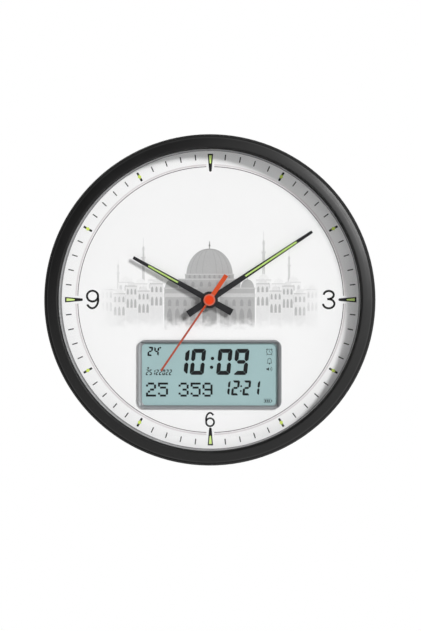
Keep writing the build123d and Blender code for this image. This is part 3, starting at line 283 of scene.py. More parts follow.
def make_drawn_lines():
    """Fine lines left by rolling, drawing or brushing, along the direction with the smallest number."""
    e = Effect("drawn_lines", ["Colour", "Roughness", "Normal"], Colour=grey(0.6), Roughness=0.3,
               Lines=(3000.0, 3000.0, 60.0), Depth=0.004 * MM, Change=0.15, Edge=0.1 * MM)
    lines = e.noise(1.0, 3.0, 0.7, e.vectors("MULTIPLY", e.place(), e.given["Lines"]))
    normal = e.relief(lines, e.given["Depth"], e.rounded(e.given["Edge"]))
    return e.give(Normal=normal, **e.toned(lines, 0.6))


def make_axis_distance():
    """Distance from the axis of the hands, in metres."""
    e = Effect("axis_distance", ["Distance"])
    return e.give(Distance=e.vectors("LENGTH", e.vectors("MULTIPLY", e.place(), (1.0, 0.0, 1.0))))


def make_turned_rings():
    """Uneven rings of a turned face, from the distance to its centre."""
    e = Effect("turned_rings", ["Normal", "Rings"], Distance=0.0, Pitch=0.3 * MM, Depth=0.006 * MM,
               Edge=0.2 * MM)
    count = e.maths("DIVIDE", e.given["Distance"], e.given["Pitch"])
    uneven = e.add("TexNoise", {"W": count, "Scale": 1.0, "Detail": 3.0, "Roughness": 0.7},
                   noise_dimensions="1D").outputs["Fac"]
    return e.give(Normal=e.relief(uneven, e.given["Depth"], e.rounded(e.given["Edge"])), Rings=uneven)


def make_print_fade():
    """How strongly a printed picture shows: full in the middle, fading towards its borders."""
    e = Effect("print_fade", ["Share"], Low=(0.0, 0.0, 0.0), High=(1.0, 1.0, 1.0), Side=20 * MM, Foot=8 * MM,
               Ragged=3 * MM)
    place, low, high = e.parts(e.place()), e.parts(e.given["Low"]), e.parts(e.given["High"])
    ragged = e.maths("MULTIPLY", e.sway(e.noise(160.0, 3.0)), e.given["Ragged"])
    across = e.maths("ADD", place["X"], ragged)
    up = e.maths("ADD", place["Z"], ragged)
    left = e.maths("DIVIDE", e.maths("SUBTRACT", across, low["X"]), e.given["Side"])
    right = e.maths("DIVIDE", e.maths("SUBTRACT", high["X"], across), e.given["Side"])
    foot = e.maths("DIVIDE", e.maths("SUBTRACT", up, low["Z"]), e.given["Foot"])
    nearest = e.maths("MINIMUM", e.maths("MINIMUM", left, right), foot)
    return e.give(Share=e.between(nearest, 0.0, 1.0, steps="SMOOTHSTEP"))


mould_texture = make_mould_texture()
handling = make_handling()
worn_edges = make_worn_edges()
drawn_lines = make_drawn_lines()
axis_distance = make_axis_distance()
turned_rings = make_turned_rings()
print_fade = make_print_fade()


# ---------------------------------------------------------------- families of finishes
def moulded(name, colour, roughness, grain=0.5, depth=0.012, edge=0.25, rubbed=None, wear=0.3, change=0.08,
            **sockets):
    """Moulded plastic or rubber: width and depth of its grain and rounding of its edges in millimetres."""
    f = Finish(name, **sockets)
    paler = tuple(min(1.0, c * 1.6 + 0.02) for c in colour[:3]) + (1.0,)
    worn = f.worn(colour, rubbed or paler, 1.5 * edge, wear)
    return f.handled(worn, roughness, f.skin(1.0 / (grain * MM), depth, edge), 28.0, change)


def drawn_metal(name, colour, roughness, lines):
    """Rolled, drawn or brushed metal; the lines run along the axis with the smallest number."""
    f = Finish(name, Metallic=1.0)
    drawn = f.effect(drawn_lines, Colour=colour, Roughness=roughness, Lines=lines, Depth=0.003 * MM,
                     Change=0.12, Edge=0.12 * MM)
    return f.handled(drawn["Colour"], drawn["Roughness"], drawn["Normal"], 60.0, 0.06)


def lacquered(name, colour, roughness, rubbed, grain=0.35, depth=0.004, **sockets):
    """Sprayed lacquer with a slight orange peel."""
    return moulded(name, colour, roughness, grain=grain, depth=depth, edge=0.12, rubbed=rubbed, wear=0.25,
                   change=0.05, **sockets)


def ink(name, colour, roughness=0.5):
    """Screen-printed ink, with slightly uneven cover."""
    return moulded(name, colour, roughness, grain=0.3, depth=0.003, edge=0.02, wear=0.0, change=0.06,
                   Specular_IOR_Level=0.3)


PICTURE_LOW = (-104 * MM, 0.0, -27 * MM)      # borders of the picture on the dial
PICTURE_HIGH = (106 * MM, 0.0, 100 * MM)


def picture_ink(name, shade):
    """Grey ink of the picture on the dial, which fades into the white of the dial at its borders."""
    f = Finish(name, Specular_IOR_Level=0.3)
    share = f.effect(print_fade, Low=PICTURE_LOW, High=PICTURE_HIGH, Side=34 * MM, Foot=12 * MM,
                     Ragged=3 * MM)
    screen = f.between(f.noise(700.0, 4.0, 0.7), 0.35, 0.65)
    tinted = f.blend(screen, grey(shade), grey(min(WHITE, 1.09 * shade)))
    shown = f.blend(share["Share"], grey(WHITE), tinted)
    return f.handled(shown, 0.5, f.skin(1800.0, 0.003, 0.005), 120.0, 0.015)


# ---------------------------------------------------------------- finishes of single pieces
BEZEL_SHOULDER_R = 147.0     # the bezel is dull outside this
BEZEL_HIGHLIGHT_R = 146.4         # middle of the painted highlight line beside it
BEZEL_LIP_R = 138.8          # the bezel is dull inside this
SPACER_SHADE_R = 135.6        # painted shade on the inner wall inside this, where it meets the dial
GLASS_RIM_R = 139.25         # the glass is green outside this


def bezel_finish():
    """Satin black moulding with fine turned lines, duller on its inner lip and outside a painted highlight
    ring at its step.
    """
    f = Finish("bezel_satin_black", Specular_IOR_Level=0.4)
    out = f.out()
    dull = f.maths("MAXIMUM", f.beyond(BEZEL_SHOULDER_R, 0.3), f.beyond(BEZEL_LIP_R, 0.4, 1.0, 0.0))
    # a pale ring of painted highlight along the bezel's step
    from_highlight = f.maths("ABSOLUTE", f.maths("SUBTRACT", out, BEZEL_HIGHLIGHT_R * MM))
    line = f.between(from_highlight, 0.2 * MM, 0.7 * MM, 1.0, 0.0)
    turned = f.effect(turned_rings, Distance=out, Pitch=0.9 * MM, Depth=0.010 * MM, Edge=0.3 * MM)
    colour = f.blend(line, f.blend(dull, grey(0.0075), grey(0.004)), grey(0.024))
    satin = f.between(dull, 0.0, 1.0, 0.46, 0.62)
    gloss = f.maths("MULTIPLY_ADD", f.maths("SUBTRACT", turned["Rings"], 0.5), 0.25, satin)
    # the paler rubbed edges are partly wear and partly painted highlight
    return f.handled(f.worn(colour, grey(0.04), 0.3, 0.4), gloss, turned["Normal"], 24.0, 0.10)


def spacer_finish():
    """Pale grey inner wall, with painted shade along its foot where it meets the dial."""
    f = Finish("spacer_pale_grey", Specular_IOR_Level=0.3)
    # the darker band along the foot is painted shade
    colour = f.blend(f.beyond(SPACER_SHADE_R, 0.2, 1.0, 0.0), rgb(0.27, 0.27, 0.275), rgb(0.19, 0.19, 0.195))
    return f.handled(colour, 0.5, f.skin(1600.0, 0.006, 0.15), 30.0, 0.03)


def trim_finish():
    """Silver lacquer on the display's frame, whose slope steepens towards the window."""
    f = Finish("trim_silver", Metallic=0.2)
    low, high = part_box("display_trim")
    panel_low, panel_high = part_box("display_panel")
    place = f.parts(f.place())
    across = f.maths("ABSOLUTE", f.maths("SUBTRACT", place["X"], (low.x + high.x) / 2))
    up = f.maths("ABSOLUTE", f.maths("SUBTRACT", place["Z"], (low.z + high.z) / 2))
    past_panel = f.maths("MAXIMUM", f.maths("SUBTRACT", across, (panel_high.x - panel_low.x) / 2),
                         f.maths("SUBTRACT", up, (panel_high.z - panel_low.z) / 2))
    slope = f.relief(f.between(past_panel, -2.5 * MM, -1.0 * MM), 1.4 * MM, f.skin(5000.0, 0.003, 0.12))
    worn = f.worn(rgb(0.28, 0.29, 0.30), rgb(0.34, 0.35, 0.36), 0.18, 0.25)
    return f.handled(worn, 0.46, slope, 28.0, 0.05)


def second_hand_finish(name, middle, outside, edge):
    """Orange lacquer that changes tone at a distance from the axis, and is redder along the pointing end."""
    f = Finish(name, Specular_IOR_Level=0.25)
    pointing = f.between(f.parts(f.place())["X"], -3.0 * MM, -9.0 * MM)
    tone = f.blend(f.beyond(edge, 0.2), middle, outside)
    mixed = f.blend(pointing, tone, rgb(0.40, 0.075, 0.045))
    return f.handled(mixed, 0.42, f.skin(2500.0, 0.004, 0.1), 60.0, 0.06)


def brass_finish():
    """Turned brass, with rings around the axis of the hands."""
    f = Finish("turned_brass", Metallic=1.0)
    rings = f.effect(turned_rings, Distance=f.out(), Pitch=0.12 * MM, Depth=0.004 * MM, Edge=0.1 * MM)
    return f.handled(rgb(0.68, 0.50, 0.22), 0.28, rings["Normal"], 90.0, 0.1)


def winding_finish():
    """Enamelled wire wound in close turns along the coil."""
    f = Finish("winding_copper", Metallic=0.9, Coat_Weight=0.4)
    turns = f.maths("SINE", f.maths("MULTIPLY", f.parts(f.place())["Z"], 2 * math.pi / (0.16 * MM)))
    wire = f.add("Bump", {"Height": turns, "Distance": 0.03 * MM})
    return f.handled(rgb(0.60, 0.24, 0.09), 0.32, wire.outputs[0], 150.0, 0.15)


def board_finish():
    """Solder mask with faint tracks under it."""
    f = Finish("board_solder_mask", Specular_IOR_Level=0.5)
    tracks = f.add("TexBrick", {"Vector": f.place(), "Scale": 110.0, "Mortar Size": 0.03,
                                "Color1": rgb(0.022, 0.13, 0.065), "Color2": rgb(0.030, 0.17, 0.085),
                                "Mortar": rgb(0.012, 0.085, 0.04)})
    return f.handled(tracks.outputs["Color"], 0.35, f.skin(3000.0, 0.004, 0.1), 60.0, 0.1)


def dial_finish():
    """Satin white sheet with the faintest tooth."""
    f = Finish("dial_satin_white", Specular_IOR_Level=0.3)
    return f.handled(grey(WHITE), 0.5, f.skin(1800.0, 0.003, 0.1), 9.0, 0.008)


def glass_finish():
    """Clear flat glass, green at its rim, that lets the lamps through to the dial."""
    f = Finish("clear_glass", Roughness=0.0, Transmission_Weight=1.0, IOR=1.5, Specular_IOR_Level=0.06)
    f.shade(Base_Color=f.blend(f.beyond(GLASS_RIM_R, 0.75), grey(0.99), rgb(0.45, 0.62, 0.55)))
    rays = f.add("LightPath").outputs
    open_to = f.maths("MAXIMUM", f.maths("MAXIMUM", rays["Is Shadow Ray"], rays["Is Diffuse Ray"]),
                      rays["Is Glossy Ray"])
    mixed = f.mixed(open_to, f.shader, f.add("BsdfTransparent", {"Color": grey(0.99)}))
    f.feed(f.surface.inputs["Surface"], mixed.outputs[0])
    return f


def display_finish():
    """Reflective display glass: teal with a fine vertical grain of its electrodes."""
    f = Finish("display_teal", Specular_IOR_Level=0.35, Coat_Weight=0.15, Coat_Roughness=0.1)
    drawn = f.effect(drawn_lines, Colour=rgb(0.345, 0.495, 0.503), Roughness=0.4,
                     Lines=(2200.0, 200.0, 200.0), Depth=0.001 * MM, Change=0.03, Edge=0.1 * MM)
    return f.handled(drawn["Colour"], drawn["Roughness"], drawn["Normal"], 14.0, 0.02)


def lume_finish():
    """Thick luminous paint: lime, a little paler where it lies thick."""
    f = Finish("lume_lime")
    thick = f.between(f.noise(400.0, 3.0), 0.35, 0.65)
    paint = f.blend(thick, rgb(0.42, 0.64, 0.12), rgb(0.53, 0.73, 0.22))
    return f.handled(paint, 0.6, f.skin(2200.0, 0.02, 0.4), 70.0, 0.05)


def cell_finish():
    """Shrunk-on dark jacket of a plain cell."""
    f = Finish("cell_jacket", Coat_Weight=0.3, Coat_Roughness=0.15, Metallic=0.3)
    worn = f.worn(rgb(0.030, 0.034, 0.042), grey(0.2), 0.3, 0.5)
    return f.handled(worn, 0.3, f.skin(900.0, 0.006, 0.2), 60.0, 0.08)


finishes = {
    "bezel_black": bezel_finish(),
    "spacer_grey": spacer_finish(),
    "trim_silver": trim_finish(),
    "second_orange": second_hand_finish("second_hand_orange", rgb(0.56, 0.14, 0.09), rgb(0.60, 0.075, 0.02),
                                        6.0),
    "brass": brass_finish(),
    "winding_copper": winding_finish(),
    "board_green": board_finish(),
    "dial_white": dial_finish(),
    "clear_glass": glass_finish(),
    "panel_teal": display_finish(),
    "lume": lume_finish(),
    "cell_jacket": cell_finish(),
    "seal_rubber": moulded("seal_rubber", grey(0.022), 0.8, grain=0.25, depth=0.02, wear=0.1),
    "carrier_white": moulded("carrier_natural", rgb(0.78, 0.77, 0.74), 0.55, depth=0.01),
    "strip_grey": moulded("contact_strip_rubber", rgb(0.2, 0.2, 0.21), 0.75, grain=0.2, wear=0.1),
    "chip_black": moulded("chip_epoxy", grey(0.02), 0.55, grain=0.12, depth=0.01, edge=0.08),
    "movement_black": moulded("movement_black", rgb(0.032, 0.032, 0.034), 0.42, grain=0.3, depth=0.012),
    "bridge_white": moulded("bridge_natural", rgb(0.75, 0.74, 0.70), 0.45, grain=0.3),
    "wheel_nylon": moulded("wheel_nylon", rgb(0.82, 0.80, 0.71), 0.4, grain=0.3, edge=0.05, wear=0.0,
                           Subsurface_Weight=0.15, Subsurface_Scale=0.002),
    "magnet_grey": moulded("sintered_magnet", rgb(0.10, 0.10, 0.11), 0.5, grain=0.15, depth=0.02, edge=0.1,
                           Metallic=0.6),
    "cover_black": moulded("cover_textured_black", rgb(0.030, 0.030, 0.032), 0.58, grain=0.9, depth=0.07,
                           edge=0.35, wear=0.5, change=0.10),
    "cone_paper": moulded("cone_paper", grey(0.045), 0.85, grain=0.4, depth=0.05, edge=0.2, wear=0.1,
                          change=0.2),
    "key_grey": moulded("key_grey", rgb(0.20, 0.20, 0.21), 0.45, grain=0.3, depth=0.01, edge=0.3),
    "speaker_steel": lacquered("speaker_black_enamel", grey(0.05), 0.35, grey(0.3), grain=0.5, depth=0.01),
    "hand_black": lacquered("hand_satin_black", rgb(0.018, 0.018, 0.020), 0.45, grey(0.05),
                            Specular_IOR_Level=0.3),
    "steel": drawn_metal("zinc_steel", rgb(0.55, 0.55, 0.56), 0.36, (2500.0, 2500.0, 90.0)),
    "contact_metal": drawn_metal("nickel_strip", rgb(0.62, 0.60, 0.56), 0.3, (2500.0, 90.0, 2500.0)),
    "screw_steel": drawn_metal("blackened_steel", rgb(0.22, 0.22, 0.23), 0.38, (1800.0, 200.0, 1800.0)),
    "switch_metal": drawn_metal("tinned_steel", rgb(0.5, 0.5, 0.5), 0.38, (2000.0, 80.0, 2000.0)),
}
cap_orange = second_hand_finish("second_hand_cap_orange", rgb(0.76, 0.05, 0.006), rgb(0.56, 0.14, 0.09), 4.1)
cell_band = lacquered("cell_copper_band", rgb(0.62, 0.27, 0.10), 0.3, grey(0.4), Metallic=0.6)
cell_insulator = moulded("cell_insulator", rgb(0.75, 0.74, 0.70), 0.6)
white_mark = moulded("white_mark", grey(0.62), 0.5, grain=0.2, depth=0.004, edge=0.05, change=0.12)

black_ink = ink("ink_black", grey(0.012))
tick_ink = ink("ink_tick", grey(0.018))
ring_ink = ink("ink_ring_plum", rgb(0.12, 0.09, 0.10))
pale_ring_ink = ink("ink_ring_pale", rgb(0.70, 0.665, 0.675))
lime_ink = ink("ink_lime", rgb(0.66, 0.86, 0.26), 0.6)
# grey ink of the painted shade where the dial meets the inner wall
rim_shade_ink = ink("painted_shade_dial_rim", grey(0.20))
spot_ink = ink("ink_lime_pale", rgb(0.62, 0.78, 0.12), 0.6)
segment_ink = ink("display_segments", rgb(0.0035, 0.005, 0.0055), 0.5)
faint_segment_ink = ink("display_signs", rgb(0.02, 0.03, 0.033), 0.4)
hall_ink = picture_ink("picture_hall", 0.43)
hall_dark_ink = picture_ink("picture_hall_dark", 0.335)
hall_light_ink = picture_ink("picture_hall_light", 0.56)
house_ink = picture_ink("picture_houses", 0.72)
far_ink = picture_ink("picture_far_houses", 0.80)
window_ink = picture_ink("picture_windows", 0.43)
tower_ink = picture_ink("picture_towers", 0.60)


# ---------------------------------------------------------------- making of pieces
class Piece:
    """A mesh under way. Plates and strokes lie between its two heights, drawn as seen from the front."""

    def __init__(self, low=0.0, high=0.0):
        self.bm = bmesh.new()
        self.low = low
        self.high = high

    def corner(self, x, height, z):
        """One point of the mesh."""
        return self.bm.verts.new((x * MM, -height * MM, z * MM))

    def walls(self, first, second):
        """Faces between two rings of as many points."""
        for i in range(len(first)):
            j = (i + 1) % len(first)
            self.bm.faces.new((first[i], first[j], second[j], second[i]))

    def fill_between(self, ring, rim):
        """Flat faces between a closed ring of points and another inside it."""
        border = [self.bm.edges.get(pair) for loop in (ring, rim) for pair in zip(loop, loop[1:] + loop[:1])]
        bmesh.ops.triangle_fill(self.bm, use_beauty=True, edges=border)

    def plate(self, outline, hole=None):
        """A closed plate with this outline, and a hole with its own."""
        back = [self.corner(x, self.low, z) for x, z in outline]
        front = [self.corner(x, self.high, z) for x, z in outline]
        self.walls(back, front)
        if hole is None:
            self.bm.faces.new(front)
            self.bm.faces.new(back[::-1])
            return
        back_rim = [self.corner(x, self.low, z) for x, z in hole]
        front_rim = [self.corner(x, self.high, z) for x, z in hole]
        self.walls(back_rim, front_rim)
        self.fill_between(front, front_rim)
        self.fill_between(back, back_rim)

    def block(self, x, z, width, height, hole=None):
        """An upright rectangle that stands on z with its middle at x."""
        self.plate(box_outline(x, z, width, height), hole)

    def disc(self, x, z, radius, steps=24):
        """A round plate."""
        self.plate(circle((x, z), radius, steps))

    def ribbon(self, path, width, closed=False):
        """A flat stroke of even width along a path."""
        count = len(path)
        sections = []
        for i, (x, z) in enumerate(path):
            before = path[i - 1] if i > 0 or closed else path[i]
            after = path[(i + 1) % count] if i < count - 1 or closed else path[i]
            along = Vector((after[0] - before[0], after[1] - before[1])).normalized()
            side = Vector((-along.y, along.x)) * width / 2
            left, right = (x + side.x, z + side.y), (x - side.x, z - side.y)
            corners = ((left, self.low), (right, self.low), (right, self.high), (left, self.high))
            sections.append([self.corner(place[0], height, place[1]) for place, height in corners])
        for i in range(count if closed else count - 1):
            self.walls(sections[i], sections[(i + 1) % count])
        if not closed:
            self.bm.faces.new(sections[0][::-1])
            self.bm.faces.new(sections[-1])

    def turned(self, profile, foot, axis, steps=36, open_foot=False, hollow=False):
        """A turned shape: pairs of distance along its axis and radius, from its foot (x, height, z)."""
        axis = Vector(axis)
        side = axis.orthogonal().normalized()
        other = axis.cross(side)
        rings = []
        for along, radius in profile:
            ring = []
            for i in range(steps):
                turn = 2 * math.pi * i / steps
                out = side * math.cos(turn) + other * math.sin(turn)
                ring.append(self.corner(*(Vector(foot) + axis * along + out * radius)))
            rings.append(ring)
        for ring, following in zip(rings, rings[1:]):
            self.walls(ring, following)
        if hollow:
            self.walls(rings[-1], rings[0])
            return rings
        if not open_foot:
            self.bm.faces.new(rings[0][::-1])
        self.bm.faces.new(rings[-1])
        return rings

    def finish(self, name, finish, slot, body="root", smooth=None):
        """Turns the mesh into an object that rides on a body and takes its finish."""
        bmesh.ops.recalc_face_normals(self.bm, faces=self.bm.faces)
        mesh = bpy.data.meshes.new(name)
        self.bm.to_mesh(mesh)
        self.bm.free()
        mesh.materials.append(finish.material)
        obj = bpy.data.objects.new(name, mesh)
        bpy.context.scene.collection.objects.link(obj)
        if smooth is not None:
            mesh.shade_smooth()
            mesh.set_sharp_from_angle(angle=math.radians(smooth))
        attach(obj, body)
        return obj


def cos_sin(angle):
    """Cosine and sine of an angle in degrees."""
    return math.cos(math.radians(angle)), math.sin(math.radians(angle))


def arc(centre, radius_x, radius_z, start, end, steps=24):
    """Points on an ellipse, in degrees from +x towards +z."""
    points = []
    for i in range(steps + 1):
        cosine, sine = cos_sin(start + (end - start) * i / steps)
        points.append((centre[0] + radius_x * cosine, centre[1] + radius_z * sine))
    return points


def circle(centre, radius, steps=24):
    """Closed outline of a circle."""
    return arc(centre, radius, radius, 0, 360 * (1 - 1 / steps), steps - 1)


def box_outline(x, z, width, height):
    """Outline of an upright rectangle that stands on z with its middle at x."""
    return [(x - width / 2, z), (x + width / 2, z), (x + width / 2, z + height), (x - width / 2, z + height)]


def moved(outline, x, z):
    """An outline moved to another place."""
    return [(x + px, z + pz) for px, pz in outline]


# ---------------------------------------------------------------- printing on the dial
DIAL = front_of("dial")
PRINT_CENTRE = (0.75, 0.27)  # the print sits a little off the axis of the hands
# Bars of the track: inner and outer radius, width at each, and rounding at each.
TICK = (126.8, 131.9, 1.0, 1.0, 0.0, 0.0)
HOUR_MARK = (124.1, 132.8, 1.9, 1.9, 0.4, 0.4)
BATON = (115.9, 132.1, 2.3, 4.9, 0.9, 0.3)
BATON_LIME = (123.3, 130.7, 1.2, 2.5, 0.5, 0.2)
SPOT_R = 128.5               # middle of the lime spots on the hour marks
SPOT_LENGTH = 4.2
SPOT_WIDTH = 3.7
# Fine rings inside the track: name, radius, width and ink of each.
RINGS = (("dial_ring_dark", 120.4, 0.65, ring_ink), ("dial_ring_pale", 122.05, 1.4, pale_ring_ink))
RING_GAP = 3.6               # each side of a baton
RIM_SHADE_R = 135.75          # ring of painted shade at the dial's edge, mostly under the inner wall
RIM_SHADE_WIDTH = 1.5
NUMERAL_STROKE = 1.9
SIX_STROKE = 1.6             # the six is smaller than the others
THREE_AT = (107.9, 0.27)
NINE_AT = (-106.1, 0.35)
SIX_AT = (0.4, -108.3)


def on_dial(level=1):
    """A piece printed on the level-th layer of the dial."""
    return Piece(DIAL + (level - 1) * INK, DIAL + level * INK)


def bar(inner, outer, inner_width, outer_width, inner_round, outer_round):
    """Outline of a tapered bar, in (along, across), with its corners rounded."""
    corners = ((outer, -outer_width, outer_round, -90), (outer, outer_width, outer_round, 0),
               (inner, inner_width, inner_round, 90), (inner, -inner_width, inner_round, 180))
    points = []
    for end, width, rounding, start in corners:
        outward = 1 if start < 90 else -1
        centre = (end - outward * rounding, width / 2 - math.copysign(rounding, width))
        points += arc(centre, rounding, rounding, start, start + 90, 4) if rounding else [centre]
    return points


def print_radially(piece, clock_angle, outline):
    """A plate on the dial from an outline in (along, across), turned to a clock angle."""
    cosine, sine = cos_sin(clock_angle)
    points = [(along * sine + aside * cosine, along * cosine - aside * sine) for along, aside in outline]
    piece.plate(moved(points, *PRINT_CENTRE))


def print_minute_track():
    """Minute ticks, five-minute marks with their lime spots and the four quarter batons."""
    ticks, marks, spots, limes = on_dial(), on_dial(), on_dial(2), on_dial(2)
    spot = [(SPOT_R + SPOT_LENGTH / 2, 0), (SPOT_R, SPOT_WIDTH / 2), (SPOT_R - SPOT_LENGTH / 2, 0),
            (SPOT_R, -SPOT_WIDTH / 2)]
    for minute in range(60):
        angle = 6.0 * minute
        if minute % 5:
            print_radially(ticks, angle, bar(*TICK))
        elif minute % 15:
            print_radially(marks, angle, bar(*HOUR_MARK))
            print_radially(spots, angle, spot)
        else:
            print_radially(marks, angle, bar(*BATON))
            print_radially(limes, angle, bar(*BATON_LIME))
    ticks.finish("dial_minute_ticks", tick_ink, "hand_black")
    marks.finish("dial_hour_marks", black_ink, "hand_black")
    spots.finish("dial_lime_spots", spot_ink, "lume")
    limes.finish("dial_lime_batons", lime_ink, "lume")


def print_rings():
    """Two fine rings inside the minute track, broken at the batons, and a grey ring of painted shade at the
    dial's edge.
    """
    for name, radius, width, finish in RINGS:
        ring = on_dial()
        gap = math.degrees(RING_GAP / radius)
        for quarter in range(4):
            path = arc(PRINT_CENTRE, radius, radius, 90 * quarter + gap, 90 * quarter + 90 - gap, 60)
            ring.ribbon(path, width)
        ring.finish(name, finish, "hand_black")
    # a grey ring of painted shade where the dial meets the inner wall
    rim = on_dial()
    rim.ribbon(circle(PRINT_CENTRE, RIM_SHADE_R, 240), RIM_SHADE_WIDTH, closed=True)
    rim.finish("dial_rim_painted_shade", rim_shade_ink, "hand_black")


def print_numerals():
    """Plain 3, 9 and 6 in one light stroke."""
    upper = arc((0.0, 4.3), 4.5, 3.6, 178, -68, 30) + [(0.2, 0.5)]
    lower = [(-1.4, 0.5)] + arc((-0.05, -3.65), 5.1, 4.15, 90, -180, 40)
    three = ((upper, False), (lower, False))
    bowl = arc((-0.18, 3.14), 5.05, 4.85, 0, 352.5, 47)
    nine = ((bowl, True), (arc((-0.4, -0.05), 5.4, 7.8, 18, -146, 40), False))
    six = ((circle((0.09, -2.5), 3.6, 48), True), (arc((0.14, -0.23), 3.75, 6.2, 198, 40, 40), False))
    for name, strokes, place, width in (("three", three, THREE_AT, NUMERAL_STROKE),
                                        ("nine", nine, NINE_AT, NUMERAL_STROKE),
                                        ("six", six, SIX_AT, SIX_STROKE)):
        numeral = on_dial()
        for path, closed in strokes:
            numeral.ribbon(moved(path, *place), width, closed)
        numeral.finish("dial_numeral_" + name, black_ink, "hand_black")


# ---------------------------------------------------------------- picture: a made-up town round a domed hall
FOOT = -27.0                 # where the picture ends below
GAP = 0.4                    # between neighbouring houses
TOWN_START = 42.0            # the town begins this far from the middle of the hall
# Width and height of each house; place, top and width of each tower.
HOUSES = ((12.2, 15.0), (11.3, 8.5), (10.6, 13.0), (11.6, 6.0), (10.8, 10.0))
FAR_HOUSES = ((14.0, 18.5), (13.2, 15.0), (13.8, 16.5), (12.6, 9.5))
TOWERS = ((-60.0, 56.0, 2.6), (49.0, 62.0, 2.8), (-83.0, 38.0, 2.0), (72.0, 46.0, 2.2))
ARBOR_HOLE_R = 6.0           # the picture ends here round the hands' arbors, under the dial's washer
# The hall: middle, foot, width and height of each of its blocks, its door and its pale bands.
HALL = (0, FOOT, 82, 38)
HALL_TIERS = ((0, 11, 56, 8), (0, 19, 44, 4.5))
MAST = (0, 46, 0.9, 7)
DOOR = (0, FOOT, 13, 27.5)
PORCH = (0, FOOT, 19, 33.5)
HALL_BANDS = ((0, 22.9, 45, 0.8), (0, 18.4, 57, 0.9), (-26, 10.2, 31, 1.0), (26, 10.2, 31, 1.0),
              (-26, 2.6, 31, 3.4), (26, 2.6, 31, 3.4))
BALL = (0, 49.4, 0.95, 16)   # on the mast: middle, height, radius and steps
DOME = (0, 23.5, 21, 23)     # middle, foot, radius and rise
RIBS = (0.30, 0.58, 0.82)    # places of the dome's ribs, in radii of the dome
RIB_FOOT = 23.8
RIB_RISE = 22.6
RIB_WIDTH = 0.35
SIDE_DOME_X = 34.4
SIDE_DOME = (11, 6, 7.5)     # foot, radius and rise
SIDE_MAST = (18, 0.5, 3.4)   # foot, width and height
ARCH_START = 15.2            # first place and pitch of the arches beside the door
ARCH_PITCH = 7.0
ARCHES = ((FOOT + 4, 4.6, 15.5), (-5.5, 3.0, 6.0))          # foot, width and height in each of their rows
# Number, pitch, foot, width and height of the windows in each row.
WINDOWS = ((9, 4.5, 19.6, 1.9, 3.2), (7, 7.5, 12.2, 2.9, 4.6))


def mirrored(side, x, z):
    """A whole outline, symmetrical about x, from its right side that runs upwards to the middle."""
    return moved(side + [(-px, pz) for px, pz in side[-2::-1]], x, z)


def pointed_arch(x, z, width, height):
    """Outline of an opening with a pointed arch, standing on z."""
    half, spring = width / 2, height * 0.55
    curve = [(half * cos_sin(a)[0], spring + (height - spring) * cos_sin(a)[1] ** 1.3)
             for a in range(0, 91, 15)]
    return mirrored([(half, 0)] + curve, x, z)


def dome_side(radius, rise, stop, step):
    """Right side of a dome with a slight point."""
    return [(radius * cos_sin(a)[0] ** 0.9, rise * cos_sin(a)[1] ** 1.15) for a in range(0, stop, step)]


def dome(x, z, radius, rise):
    """Outline of a dome, standing on z."""
    return mirrored(dome_side(radius, rise, 91, 6), x, z)


def print_tower(piece, x, top, width):
    """A slim tower with one gallery, a lantern and a pointed cap."""
    lantern = top - 7.0 * width
    piece.plate([(x - width / 2, FOOT), (x + width / 2, FOOT), (x + 0.42 * width, lantern),
                 (x - 0.42 * width, lantern)])
    piece.block(x, lantern, 1.5 * width, 0.5 * width)
    piece.block(x, lantern + 0.5 * width, 0.62 * width, 2.4 * width)
    piece.plate(dome(x, lantern + 2.9 * width, 0.45 * width, 1.3 * width))
    piece.block(x, lantern + 4.1 * width, 0.12 * width, 2.9 * width)


def print_house(walls, windows, x, width, height):
    """A house with a small dome, a cornice, and two rows of windows."""
    rise = 0.36 * width
    walls.block(x, FOOT, width, height - FOOT)
    walls.plate(dome(x, height, 0.34 * width, rise))
    walls.block(x, height + rise, 0.4, 3.0)
    windows.block(x, height - 0.7, width, 0.6)
    for column in (-1, 0, 1):
        place = x + width * column / 3
        windows.plate(pointed_arch(place, height - 8.0, 0.17 * width, 5.2))
        windows.plate(pointed_arch(place, height - 20.0, 0.2 * width, 8.0))


def print_town():
    """Pale houses in two rows, and slim towers behind them."""
    half = INK / 2
    towers = Piece(DIAL, DIAL + half)
    for tower in TOWERS:
        print_tower(towers, *tower)
    towers.finish("picture_towers", tower_ink, "spacer_grey")
    rows = (("picture_far_", FAR_HOUSES, DIAL + half, far_ink, tower_ink),
            ("picture_", HOUSES, DIAL + 1.5 * INK, house_ink, window_ink))
    for name, houses, low, wall_ink, opening_ink in rows:
        middle = low + half
        walls, windows = Piece(low, middle), Piece(middle, middle + half)
        for side in (-1, 1):
            start = TOWN_START
            for width, height in houses:
                print_house(walls, windows, side * (start + width / 2), width - GAP, height)
                start += width
        walls.finish(name + "houses", wall_ink, "spacer_grey")
        windows.finish(name + "windows", opening_ink, "spacer_grey")


